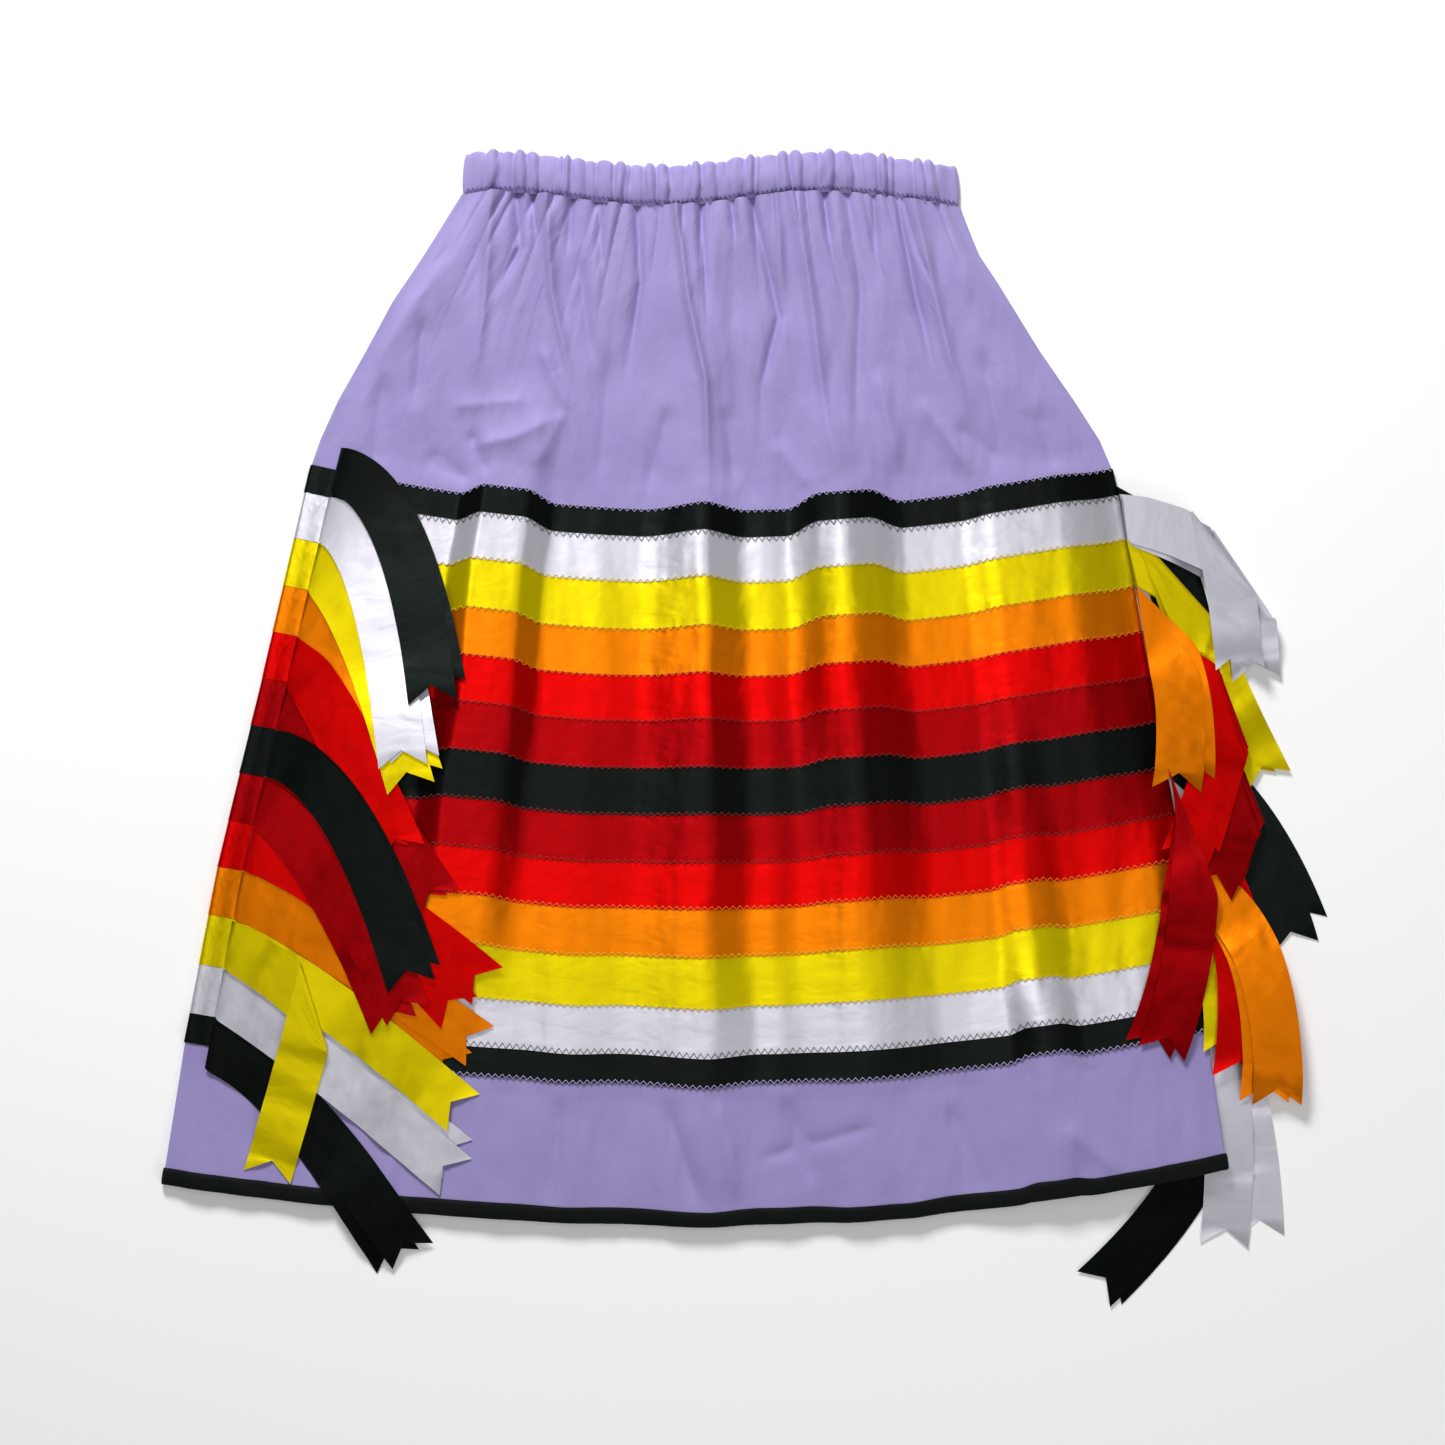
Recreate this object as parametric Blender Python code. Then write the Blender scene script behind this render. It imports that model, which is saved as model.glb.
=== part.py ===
"""Ribbon skirt, laid flat: a gathered cotton skirt with an elastic waist, thirteen satin ribbons
sewn across its front and back, folded ribbon tails caught in both side seams, and a bound hem.

Lengths are millimetres until the meshes are made, which are in metres. +Y runs up to the waist,
+X to the right and +Z out of the surface. The origin is under the middle of the central ribbon.
"""

import math

import bmesh
import bpy
import numpy as np

MM = 0.001

# Cloth and seams.
CLOTH = 1.4
GATHERED_CLOTH = 2.0
RIBBON = 1.0
GAP = 0.3
SEAM = 0.3
WAIST_SEAM = 0.6
LAYER_GAP = 0.6

# The flat outline: height above the origin, left edge and right edge.
OUTLINE = (
    # y, left, right
    (470.0, -187.0, 197.0),
    (422.0, -220.0, 215.0),
    (384.0, -246.0, 238.0),
    (345.0, -267.0, 262.0),
    (306.0, -289.0, 289.0),
    (275.0, -303.0, 309.0),
    (251.0, -311.0, 319.0),
    (228.0, -316.0, 324.0),
    (87.0, -348.0, 348.0),
    (-61.0, -383.0, 375.0),
    (-201.0, -409.5, 394.0),
    (-307.0, -426.0, 409.5),
)
WAIST_Y = 463.0
SIDE_SEAM_IN = 21.0

# The ribbons from the waist down: the height that shows, and the colour.
RIBBONS = (
    # name, height, colour
    ("black_top", 20.7, "black"),
    ("white_top", 35.5, "white"),
    ("yellow_top", 36.7, "yellow"),
    ("orange_top", 35.9, "orange"),
    ("red_top", 35.9, "red"),
    ("dark_red_top", 36.3, "dark_red"),
    ("black_middle", 37.0, "black"),
    ("dark_red_low", 36.7, "dark_red"),
    ("red_low", 35.9, "red"),
    ("orange_low", 37.0, "orange"),
    ("yellow_low", 38.6, "yellow"),
    ("white_low", 37.8, "white"),
    ("black_low", 22.6, "black"),
)
MIDDLE = 6
BANDS_TOP_Y = sum(row[1] for row in RIBBONS[:MIDDLE]) + RIBBONS[MIDDLE][1] / 2
BINDING = 12.0
HEM_CLOTH = 97.6
HEM_DEPTH = sum(row[1] for row in RIBBONS) - BANDS_TOP_Y + HEM_CLOTH + BINDING

# How far each row's ends rise above its middle: at the first ribbon and at the hem.
SAG_LEFT = (35.9, 31.2)
SAG_RIGHT = (32.8, 43.7)

# Lengthwise folds of the front. u is the place across, from -1 at the left edge to 1.
FOLDS = (
    # u, half width, height top, height hem, shift top, shift hem, from y, to y, shape
    (-0.50, 0.125, 9.0, 0.5, 10.0, 0.0, 330.0, -160.0, "flat"),
    (0.00, 0.060, 7.0, 5.0, 9.0, -7.0, 463.0, -340.0, "sharp"),
    (0.32, 0.075, 10.0, 3.0, 12.0, -4.0, 330.0, -340.0, "round"),
    (0.655, 0.045, 5.0, 1.0, 4.0, 0.0, 380.0, -60.0, "sharp"),
    (0.675, 0.130, 0.0, 5.0, 0.0, 12.0, -180.0, -340.0, "round"),
    (-0.24, 0.110, 3.0, 4.0, 1.0, -2.0, 300.0, -340.0, "round"),
)

# Gathers at the waist.
FRONT_GATHERS = 27
BACK_GATHERS = 18
GATHER_HEIGHT = 5.5
BACK_GATHER_HEIGHT = 2.2
WAIST_WAVE = 5.5
WAIST_WAVE_LENGTH = 255.0
WAIST_WAVE_CREST = 90.0
BAND_HEIGHT = 30.0
BAND_CLOTH = 2.2
BAND_GAP = 1.0

# Rows of the yoke, from the waist seam down to the first ribbon.
YOKE_ROWS = (
    # share of the way, gathers left, lift of the front, height of the back's underside
    (0.00, 1.00, 7.0, 0.6),
    (0.05, 0.95, 8.0, 0.0),
    (0.17, 0.70, 8.0, 0.0),
    (0.38, 0.38, 6.5, 0.0),
    (0.65, 0.12, 4.5, 0.0),
    (0.92, 0.00, 3.0, 0.0),
)
WAISTBAND_ROWS = (
    # share of the way up, gathers, lift of the front, how much narrower
    (0.00, 1.00, 7.0, 0.0),
    (0.45, 0.95, 8.0, 1.0),
    (1.00, 1.05, 6.5, 2.0),
)
FINE_YOKE_ROWS = 4
BACK_FINE_YOKE_ROWS = 3
BAND_LIFT = 2.5
EDGE_FADE = 22.0

# The corner of the skirt at the right of the hem lies on two pairs of ribbon tails.
CORNER_LIFT = 7.0
CORNER_X = (190.0, 290.0)
CORNER_Y = (-105.0, -180.0)

# Ribbon tails.
TAIL_WIDTH = 38.0
ROOT_HALF = 17.6
RIGHT_TOP_ROOT = 1.5
NOTCH = 14.0
SEAM_CLEAR = 2.0
LONGEST_FIRST = 0.4
STATION = 27.0
STEEPEST = 0.35
TILT = 0.16
ROOT_DROP = 0.3
ROOT_CLEAR = 3.5
LAID_GAP = 0.35
SETTLE_ROUNDS = 30
SETTLE_SHARE = 0.4

# A tail leaves its side seam, runs by way of a bend to its tip, and may be folded over on the
# way. The partner is the other half of the ribbon, turned by a fan angle about the root.
LEFT_TAILS = (
    # ribbon, bend x, bend y, tip x, tip y, fan degrees, fan length
    ("black_top", -232, 240, -212, 70, 3.5, 0.95),
    ("white_top", -255, 206, -235, 20, 3.0, 0.99),
    ("yellow_top", -272, 158, -229, 3, 3.0, 0.97),
    ("orange_top", -285, 119, -261, -34, 3.0, 0.96),
    ("red_top", -292, 82, -236, -48, -4.0, 0.96),
    ("dark_red_top", -293, 44, -207, -87, -3.0, 0.98),
    ("black_middle", -278, 20, -229, -151, 2.5, 0.97),
    ("dark_red_low", -292, -45, -231, -174, -4.0, 1.00),
    ("red_low", -287, -53, -170, -151, -8.0, 0.97),
    ("orange_low", -300, -110, -176, -198, -7.0, 0.98),
    ("yellow_low", -305, -148, -189, -250, 0.0, 1.00),
    ("white_low", -315, -195, -195, -300, 3.0, 0.97),
    ("black_low", -322, -218, -229, -363, -3.0, 0.98),
)
LEFT_FOLDED = (
    # ribbon, fold x, fold y, tip x, tip y
    ("yellow_low", -303, -166, -342, -300),
)
RIGHT_TAILS = (
    # ribbon, fold x, fold y, bend x, bend y, tip x, tip y, fan degrees, fan length
    ("black_top", 0, 0, 366, 205, 376, 95, 4.0, 0.96),
    ("white_top", 404, 188, 412, 140, 415, 96, 0.0, 1.00),
    ("yellow_top", 368, 168, 394, 100, 440, 8, -3.0, 0.97),
    ("orange_top", 0, 0, 378, 110, 366, 2, 5.0, 0.96),
    ("red_top", 412, 60, 395, 5, 372, -52, 4.0, 0.95),
    ("dark_red_top", 421, 8, 415, -30, 392, -76, 4.0, 0.95),
    ("black_middle", 0, 0, 425, 0, 461, -122, 5.0, 0.95),
    ("dark_red_low", 0, 0, 398, -84, 354, -203, -3.0, 0.99),
    ("red_low", 0, 0, 430, -78, 413, -223, 3.0, 0.98),
    ("orange_low", 0, 0, 445, -92, 445, -244, -2.5, 0.97),
    ("yellow_low", 0, 0, 410, -128, 406, -203, 4.0, 0.97),
    ("white_low", 0, 0, 418, -230, 405, -355, 8.0, 0.99),
    ("black_low", 0, 0, 428, -275, 303, -389, 2.0, 0.98),
)
RIGHT_FOLDED = (
    # ribbon, fold x, fold y, tip x, tip y
    ("white_top", 421, 172, 430, 88),
)

# How the tails lie on each other, from the lowest up, each as its side, its ribbon and which half
# of the pair it is. "skirt" is where the skirt itself lies.
STACK = (
    "right black_low lower, right black_low upper, right white_low lower, right white_low upper",
    "skirt",
    "left black_low lower, left black_low upper, left white_low lower, left white_low upper",
    "left orange_low lower, left orange_low upper, left yellow_low lower",
    "left red_low lower, left red_low upper, left dark_red_low lower, left dark_red_low upper",
    "left dark_red_top lower, left dark_red_top upper",
    "left orange_top lower, left orange_top upper, left red_top lower, left red_top upper",
    "left yellow_top lower, left yellow_top upper, left white_top lower, left white_top upper",
    "left black_top lower, left black_top upper, left black_middle lower",
    "left black_middle upper, left yellow_low upper",
    "right black_middle lower, right black_middle upper",
    "right yellow_low lower, right yellow_low upper, right red_low lower, right red_low upper",
    "right orange_low lower, right orange_low upper, right black_top lower",
    "right black_top upper, right yellow_top lower, right yellow_top upper",
    "right dark_red_top lower, right dark_red_top upper, right red_top lower",
    "right red_top upper, right orange_top lower, right orange_top upper",
    "right white_top lower, right white_top upper",
    "right dark_red_low lower, right dark_red_low upper",
)

COLOURS = {
    # colour: red, green, blue, roughness
    "lavender": (0.33, 0.26, 0.57, 0.85),
    "binding": (0.006, 0.008, 0.008, 0.8),
    "black": (0.012, 0.017, 0.016, 0.35),
    "white": (0.76, 0.74, 0.80, 0.35),
    "yellow": (0.81, 0.66, 0.01, 0.35),
    "orange": (0.93, 0.20, 0.01, 0.35),
    "red": (0.75, 0.01, 0.01, 0.35),
    "dark_red": (0.35, 0.004, 0.01, 0.35),
}


def ease(value):
    """0 to 1 with soft ends."""
    value = min(max(value, 0.0), 1.0)
    return value * value * (3 - 2 * value)


def mix(a, b, share):
    return a + (b - a) * share


def gather_lines(count, seed):
    """Uneven places of the creases between gathers, from -1 to 1."""
    widths = [1 + 0.32 * math.sin(2.3 * i + seed) + 0.2 * math.sin(5.1 * i + 1) for i in range(count)]
    edges = np.concatenate([[0.0], np.cumsum(widths)])
    return -1 + 2 * edges / edges[-1]


FRONT_LINES = gather_lines(FRONT_GATHERS, 0.4)
BACK_LINES = gather_lines(BACK_GATHERS, 1.9)


def gather(lines, u):
    """Height of the gathers at u: broad puffs with a narrow crease between each two."""
    i = min(max(int(np.searchsorted(lines, u, side="right")) - 1, 0), len(lines) - 2)
    share = (u - lines[i]) / (lines[i + 1] - lines[i])
    size = 0.72 + 0.28 * math.sin(1.7 * i + 0.6)
    return size * (1 - abs(2 * share - 1) ** 2.2)


def fold_shape(kind, distance):
    """Cross-section of a fold, 1 at its middle and 0 at its edge."""
    distance = abs(distance)
    if distance >= 1:
        return 0.0
    if kind == "sharp":
        return (1 - distance) ** 1.4
    if kind == "flat":
        return ease((1 - distance) / 0.35)
    return 0.5 + 0.5 * math.cos(math.pi * distance)


def folds_at(u, y):
    """Height of the lengthwise folds, and how far they shift a row up the skirt."""
    down = (BANDS_TOP_Y - y) / (BANDS_TOP_Y + HEM_DEPTH)
    down = min(max(down, 0.0), 1.0)
    height = shift = 0.0
    for place, half, high, high_hem, move, move_hem, start, end, kind in FOLDS:
        share = fold_shape(kind, (u - place) / half)
        share *= ease((start - y) / 90 + 0.05) * ease((y - end) / 80 + 0.35)
        height += share * mix(high, high_hem, down)
        shift += share * mix(move, move_hem, down)
    return height, shift


def corner_lift(x, y):
    return (
        CORNER_LIFT
        * ease((x - CORNER_X[0]) / (CORNER_X[1] - CORNER_X[0]))
        * ease((y - CORNER_Y[0]) / (CORNER_Y[1] - CORNER_Y[0]))
    )


class Row:
    """One row across the skirt, lying at a height under it. A column is (u, turn): u is the place
    across, or None at the left side seam, and turn is 90 on the front, 270 on the back and
    between them on a fold."""

    def __init__(self, y, under, cloth, layers, gathers, lift, band=0.0):
        self.y = y
        self.under = under
        self.cloth = cloth
        self.half = layers / 2
        self.gathers = gathers
        self.lift = lift
        self.band = band
        share = (WAIST_Y - y) / (WAIST_Y - BANDS_TOP_Y)
        down = min(max((BANDS_TOP_Y - y) / (BANDS_TOP_Y + HEM_DEPTH), 0.0), 1.0)
        share = min(max(share, 0.0), 1.0)
        self.sag = (share * mix(*SAG_LEFT, down), share * mix(*SAG_RIGHT, down))
        heights, left, right = np.array(OUTLINE)[::-1].T
        widest = self.half + cloth + GAP + RIBBON
        self.left = float(np.interp(y + self.sag[0], heights, left)) + widest + 3 * band
        self.right = float(np.interp(y + self.sag[1], heights, right)) - widest - 3 * band
        self.seam = self.left - widest + SIDE_SEAM_IN
        self.wave = ease(1 - (WAIST_Y - y) / 90)

    def outer(self):
        return self.half + self.cloth

    def point(self, column, radius, nudge=0.0):
        """The place of a column at a distance outward from the middle of the layers."""
        u, turn = column
        x = self.seam if u is None else u * (self.right if u > 0 else -self.left)
        x += nudge
        u = x / (self.right if x > 0 else -self.left)
        sag = self.sag[1] if x > 0 else self.sag[0]
        y = self.y + sag * u * u
        y += self.wave * WAIST_WAVE * math.cos(math.tau * (x - WAIST_WAVE_CREST) / WAIST_WAVE_LENGTH)
        edge = ease((1 - abs(u)) * (self.right if x > 0 else -self.left) / EDGE_FADE)
        raised = 0.0
        if turn == 90:
            height, shift = folds_at(u, self.y)
            y += shift * edge
            raised = edge * (self.lift + height + self.gathers * GATHER_HEIGHT * gather(FRONT_LINES, u))
        elif turn == 270:
            raised = edge * self.gathers * BACK_GATHER_HEIGHT * gather(BACK_LINES, u)
        z = self.under + self.cloth + self.half + corner_lift(x, y) + raised
        turn = math.radians(turn)
        return (x + radius * math.cos(turn), y, z + radius * math.sin(turn))


class Between:
    """A row a little way from one row towards another, on the straight line between them."""

    def __init__(self, first, second, distance):
        self.first = first
        self.second = second
        self.share = distance / abs(first.y - second.y)

    def point(self, column, radius, nudge=0.0):
        a = self.first.point(column, self.first.outer() + radius, nudge)
        b = self.second.point(column, self.second.outer() + radius, nudge)
        return tuple(mix(p, q, self.share) for p, q in zip(a, b))


def order(column):
    """Where a column comes in its row, to match columns of two rows."""
    u, turn = column
    u = -0.93 if u is None else u
    return 1 + (90 - turn) / 900 if turn < 90 else u


def zip_rows(first, second):
    """Triangles between two rows of columns, as (row, index) corners."""
    a, b = [list(map(float, r)) for r in (first, second)]
    i = j = 0
    faces = []
    while i < len(a) - 1 or j < len(b) - 1:
        take_first = j == len(b) - 1 or (i < len(a) - 1 and a[i + 1] - 1e-9 < b[j + 1])
        if take_first:
            faces.append(((0, i), (1, j), (0, i + 1)))
            i += 1
        else:
            faces.append(((0, i), (1, j), (1, j + 1)))
            j += 1
    return faces


def new_object(name, points, faces, colour):
    """An object from millimetre points, facing out, with the colour's material."""
    bm = bmesh.new()
    verts = [bm.verts.new([value * MM for value in point]) for point in points]
    for face in faces:
        bm.faces.new([verts[i] for i in face])
    bmesh.ops.recalc_face_normals(bm, faces=bm.faces)
    if bm.calc_volume(signed=True) < 0:
        bmesh.ops.reverse_faces(bm, faces=bm.faces)
    mesh = bpy.data.meshes.new(name)
    bm.to_mesh(mesh)
    bm.free()
    mesh.materials.append(material(colour))
    obj = bpy.data.objects.new(name, mesh)
    collection.objects.link(obj)
    return obj


def material(colour):
    """The cloth's material, one for each colour."""
    found = bpy.data.materials.get(colour)
    if found:
        return found
    made = bpy.data.materials.new(colour)
    made.use_nodes = True
    red, green, blue, rough = COLOURS[colour]
    shader = made.node_tree.nodes["Principled BSDF"]
    shader.inputs["Base Color"].default_value = (red, green, blue, 1)
    shader.inputs["Roughness"].default_value = rough
    shader.inputs["Metallic"].default_value = 0
    return made


def wall(name, rows, places, colour, closed=False):
    """A wall of cloth between an inner and an outer skin.

    rows holds, for each row, its inner and its outer points, and places the matching order of
    its columns. A closed wall is a ring, whose last column joins its first.
    Returns the triangles of the outer skin, in millimetres."""
    points = []
    starts_of = []
    for inner, outer in rows:
        starts = []
        for skin in (inner, outer):
            starts.append(len(points))
            points.extend(skin)
        starts_of.append(starts)
    faces = []
    outer_faces = []
    for k in range(len(rows) - 1):
        pairs = zip_rows(places[k], places[k + 1])
        if closed:
            count = len(rows[k][0])
            pairs += [((0, count - 1), (1, count - 1), (0, 0)), ((0, 0), (1, count - 1), (1, 0))]
        for corners in pairs:
            inner = [starts_of[k + side][0] + i for side, i in corners]
            outer = [starts_of[k + side][1] + i for side, i in corners]
            faces.append(inner[::-1])
            faces.append(outer)
            outer_faces.append(outer)
        if not closed:
            for last in (0, -1):
                ends = [range(len(rows[k + s][0]))[last] for s in (0, 1)]
                top = [starts_of[k + s][0] + ends[s] for s in (0, 1)]
                low = [starts_of[k + s][1] + ends[s] for s in (0, 1)]
                faces.append((top[0], top[1], low[1]))
                faces.append((top[0], low[1], low[0]))
    for k in (0, len(rows) - 1):
        count = len(rows[k][0])
        for i in range(count if closed else count - 1):
            j = (i + 1) % count
            inner, outer = starts_of[k]
            faces.append((inner + i, inner + j, outer + j))
            faces.append((inner + i, outer + j, outer + i))
    new_object(name, points, faces, colour)
    return [[points[i] for i in face] for face in outer_faces]


# Columns of the front below the gathers, at the folds' feet, shoulders and crests.
FRONT_COLUMNS = [
    (None, 90), (-0.86, 90), (-0.74, 90), (-0.62, 90), (-0.57, 90), (-0.50, 90),
    (-0.43, 90), (-0.38, 90), (-0.31, 90), (-0.24, 90), (-0.14, 90), (-0.06, 90),
    (-0.025, 90), (0.0, 90), (0.025, 90), (0.06, 90), (0.12, 90), (0.18, 90), (0.245, 90),
    (0.285, 90), (0.32, 90), (0.355, 90), (0.395, 90), (0.50, 90), (0.61, 90),
    (0.655, 90), (0.70, 90), (0.79, 90), (0.87, 90), (0.94, 90), (1.0, 90),
    (1.0, 45), (1.0, 15),
]  # fmt: skip
BACK_FLAT = [1.0, 0.94, 0.87, 0.79, 0.70, 0.50, 0.2, -0.14, -0.5, -0.8, -1.0]
LEFT_TURN = [(-1.0, 225), (-1.0, 180), (-1.0, 135), (-1.0, 90), (-0.965, 90)]


def front_fine():
    """Columns of the gathered front: a crease, a rise and a fall for each gather."""
    found = [(None, 90)]
    for i in range(FRONT_GATHERS):
        start, end = FRONT_LINES[i], FRONT_LINES[i + 1]
        for share in (0.0, 0.27, 0.73):
            if mix(start, end, share) > -0.86:
                found.append((mix(start, end, share), 90))
    return found + [(1.0, 90), (1.0, 45), (1.0, 15)]


def back_bottom(fine):
    """Places across the back, from the right fold to the left one."""
    if not fine:
        return BACK_FLAT
    found = []
    for i in range(BACK_GATHERS):
        start, end = BACK_LINES[i], BACK_LINES[i + 1]
        found.extend([start, mix(start, end, 0.5)])
    return (found + [1.0])[::-1]


def back_columns(fine):
    """Columns of the back, from the right fold, under, round the left fold to the side seam."""
    columns = [(1.0, 345), (1.0, 315)]
    columns += [(u, 270) for u in back_bottom(fine)]
    return columns + LEFT_TURN + [(None, 90)]


def back_order(columns):
    """Steadily rising places of the back's columns."""
    found = []
    for u, turn in columns:
        if turn > 270:
            found.append(-1.2 + (345 - turn) / 900)
        elif turn == 270:
            found.append(-u)
        elif turn > 90:
            found.append(1.1 + (270 - turn) / 900)
        else:
            found.append(1.4 + (0.2 if u is None else (u + 1)))
    return found


def front_order(columns):
    return [order(column) for column in columns]


def make_rows():
    """The rows of the front and the back, which share their heights."""
    front = []
    for share, gathers, lift, under in YOKE_ROWS:
        y = mix(WAIST_Y, BANDS_TOP_Y, share)
        front.append(Row(y, under, mix(CLOTH, GATHERED_CLOTH, gathers), LAYER_GAP, gathers, lift))
    y = BANDS_TOP_Y
    bands = [Row(y, GAP + RIBBON, CLOTH, LAYER_GAP, 0, BAND_LIFT)]
    for _, height, _ in RIBBONS:
        y -= height
        bands.append(Row(y, GAP + RIBBON, CLOTH, LAYER_GAP, 0, BAND_LIFT))
    hem_gap = 2 * (GAP + RIBBON) + GAP
    hem = [
        Row(y - 14, 0.2, CLOTH, LAYER_GAP, 0, 3.0),
        Row(y - 0.55 * HEM_CLOTH, 0.2, CLOTH, mix(LAYER_GAP, hem_gap, 0.5), 0, 3.0),
        Row(y - HEM_CLOTH, GAP + RIBBON, CLOTH, hem_gap, 0, 2.0),
        Row(y - HEM_CLOTH - BINDING, GAP + RIBBON, CLOTH, hem_gap, 0, 2.0),
    ]
    return front, bands, hem


def skins(row, columns, inner, outer, nudges):
    """The inner and outer points of one row, with its first and last column nudged along x."""
    found = []
    for radius in (inner, outer):
        skin = []
        for i, column in enumerate(columns):
            nudge = nudges[0] if i == 0 else nudges[1] if i == len(columns) - 1 else 0.0
            skin.append(row.point(column, radius, nudge))
        found.append(skin)
    return found


def make_panels(yoke, bands, hem):
    """The front and the back of the skirt."""
    top = Between(yoke[0], yoke[1], WAIST_SEAM)
    edge = Between(hem[-1], hem[-2], GAP + RIBBON)
    skirt_top = []
    for name, is_front in (("skirt_front", True), ("skirt_back", False)):
        fine_rows = FINE_YOKE_ROWS if is_front else BACK_FINE_YOKE_ROWS
        nudges = (SEAM / 2, 0) if is_front else (0, -SEAM / 2)
        rows = []
        places = []
        for i, row in enumerate([top, *yoke[1:], *bands, *hem[:-1], edge]):
            fine = i < fine_rows
            if is_front:
                columns = front_fine() if fine else FRONT_COLUMNS
                places.append(front_order(columns))
            else:
                columns = back_columns(fine)
                places.append(back_order(columns))
            if isinstance(row, Between):
                cloth = row.first.cloth
                rows.append(skins(row, columns, -cloth, 0.0, nudges))
            else:
                rows.append(skins(row, columns, row.half, row.outer(), nudges))
        skirt_top += wall(name, rows, places, "lavender")
    return skirt_top


def make_ribbons(bands):
    """Thirteen ribbons across the front and thirteen across the back, on the panels' points."""
    tops = []
    sides = (
        ("front", FRONT_COLUMNS, front_order(FRONT_COLUMNS), (SEAM / 2, 0)),
        ("back", back_columns(False), back_order(back_columns(False)), (0, -SEAM / 2)),
    )
    for i, (ribbon, _, colour) in enumerate(RIBBONS):
        ends = (Between(bands[i], bands[i + 1], SEAM / 2), Between(bands[i + 1], bands[i], SEAM / 2))
        for side, columns, places, nudges in sides:
            rows = [skins(end, columns, GAP, GAP + RIBBON, nudges) for end in ends]
            tops += wall(f"ribbon_{side}_{ribbon}", rows, [places, places], colour)
    return tops


def make_binding(hem):
    """A folded tape round the hem's raw edge, one length on the front and one on the back."""
    tops = []
    upper, lower = hem[-2], hem[-1]
    inside = Between(lower, upper, RIBBON)
    sides = (
        ("front", FRONT_COLUMNS, (SEAM / 2, 0)),
        ("back", back_columns(False), (0, -SEAM / 2)),
    )
    for side, columns, nudges in sides:
        profile = []
        for row, offset in (
            (upper, "out"), (lower, "out"), (lower, "in"), (upper, "in"),
            (upper, "in gap"), (inside, "in gap"), (inside, "out gap"), (upper, "out gap"),
        ):  # fmt: skip
            cloth = lower.cloth
            radius = {
                "out": GAP + RIBBON,
                "out gap": GAP,
                "in gap": -cloth - GAP,
                "in": -cloth - GAP - RIBBON,
            }[offset]
            if isinstance(row, Row):
                radius += row.outer()
            points = []
            for i, column in enumerate(columns):
                nudge = nudges[0] if i == 0 else nudges[1] if i == len(columns) - 1 else 0.0
                points.append(row.point(column, radius, nudge))
            profile.append(points)
        count = len(columns)
        points = [point for line in profile for point in line]
        faces = []
        for k in range(8):
            m = (k + 1) % 8
            for i in range(count - 1):
                a, b = k * count + i, m * count + i
                faces.append((a, b, a + 1))
                faces.append((a + 1, b, b + 1))
            if k == 0:
                tops += [[points[j] for j in face] for face in faces]
        for i in (0, count - 1):
            loop = [k * count + i for k in range(8)]
            for cap in ((0, 1, 6, 7), (1, 2, 5, 6), (2, 3, 4, 5)):
                a, b, c, d = [loop[k] for k in cap]
                faces.append((a, b, c))
                faces.append((a, c, d))
        new_object(f"hem_binding_{side}", points, faces, "binding")
    return tops


def make_waistband(yoke):
    """The gathered casing round the waist, a ring of folded cloth over wide elastic."""
    first = yoke[0]
    columns = [(-1.0, 180), (-1.0, 135)]
    front = [(-1.0, 90)] + [column for column in front_fine() if column[0] is not None]
    columns += front[:-2] + [(1.0, 45), (1.0, 0), (1.0, 315)]
    columns += [(u, 270) for u in back_bottom(True)] + [(-1.0, 225)]
    places = list(range(len(columns)))
    rows = []
    for share, gathers, lift, taper in WAISTBAND_ROWS:
        row = Row(first.y, 0.0, BAND_CLOTH, BAND_GAP, gathers, lift, taper)
        row.y += share * BAND_HEIGHT
        rows.append(
            [[row.point(column, radius) for column in columns] for radius in (row.half, row.outer())]
        )
    return wall("waistband", rows, [places] * len(rows), "lavender", closed=True)


class Pile:
    """The height of everything laid down so far, on a grid of square cells."""

    CELL = 1.0
    STEP = 0.9
    COUNT = 1000
    LOW = np.array([-470.0, -430.0])

    def __init__(self):
        self.height = np.zeros((self.COUNT, self.COUNT))

    def cells(self, x, y):
        i = np.clip(((x - self.LOW[0]) / self.CELL).astype(int), 1, self.COUNT - 2)
        j = np.clip(((y - self.LOW[1]) / self.CELL).astype(int), 1, self.COUNT - 2)
        return i, j

    def add(self, triangles):
        """Lays triangles down, each cell and its neighbours taking the highest point."""
        for triangle in np.array(triangles, float):
            a, b, c = triangle
            size = max(np.abs(b - a)[:2].max(), np.abs(c - a)[:2].max(), np.abs(c - b)[:2].max())
            steps = int(size / self.STEP) + 2
            s, t = np.meshgrid(np.linspace(0, 1, steps), np.linspace(0, 1, steps))
            keep = s + t <= 1.0001
            s, t = s[keep], t[keep]
            points = a + s[:, None] * (b - a) + t[:, None] * (c - a)
            i, j = self.cells(points[:, 0], points[:, 1])
            for di in (-1, 0, 1):
                for dj in (-1, 0, 1):
                    np.maximum.at(self.height, (i + di, j + dj), points[:, 2])

    def needs(self, a, b, c, d):
        """Heights that clear what lies under the patch from line a, b to line c, d, and the
        shares that each point of it takes from the four corners."""
        size = max(np.abs(b - a).max(), np.abs(c - a).max(), np.abs(d - b).max(), np.abs(c - d).max())
        steps = int(size / self.STEP) + 2
        s, t = np.meshgrid(np.linspace(0, 1, steps), np.linspace(0, 1, steps))
        s, t = s.ravel(), t.ravel()
        shares = np.stack([(1 - s) * (1 - t), s * (1 - t), (1 - s) * t, s * t], axis=1)
        points = shares @ np.array([a, b, c, d])
        i, j = self.cells(points[:, 0], points[:, 1])
        under = self.height[i, j]
        return shares, np.where(under > 0.01, under + LAID_GAP, 0.0)


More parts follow.
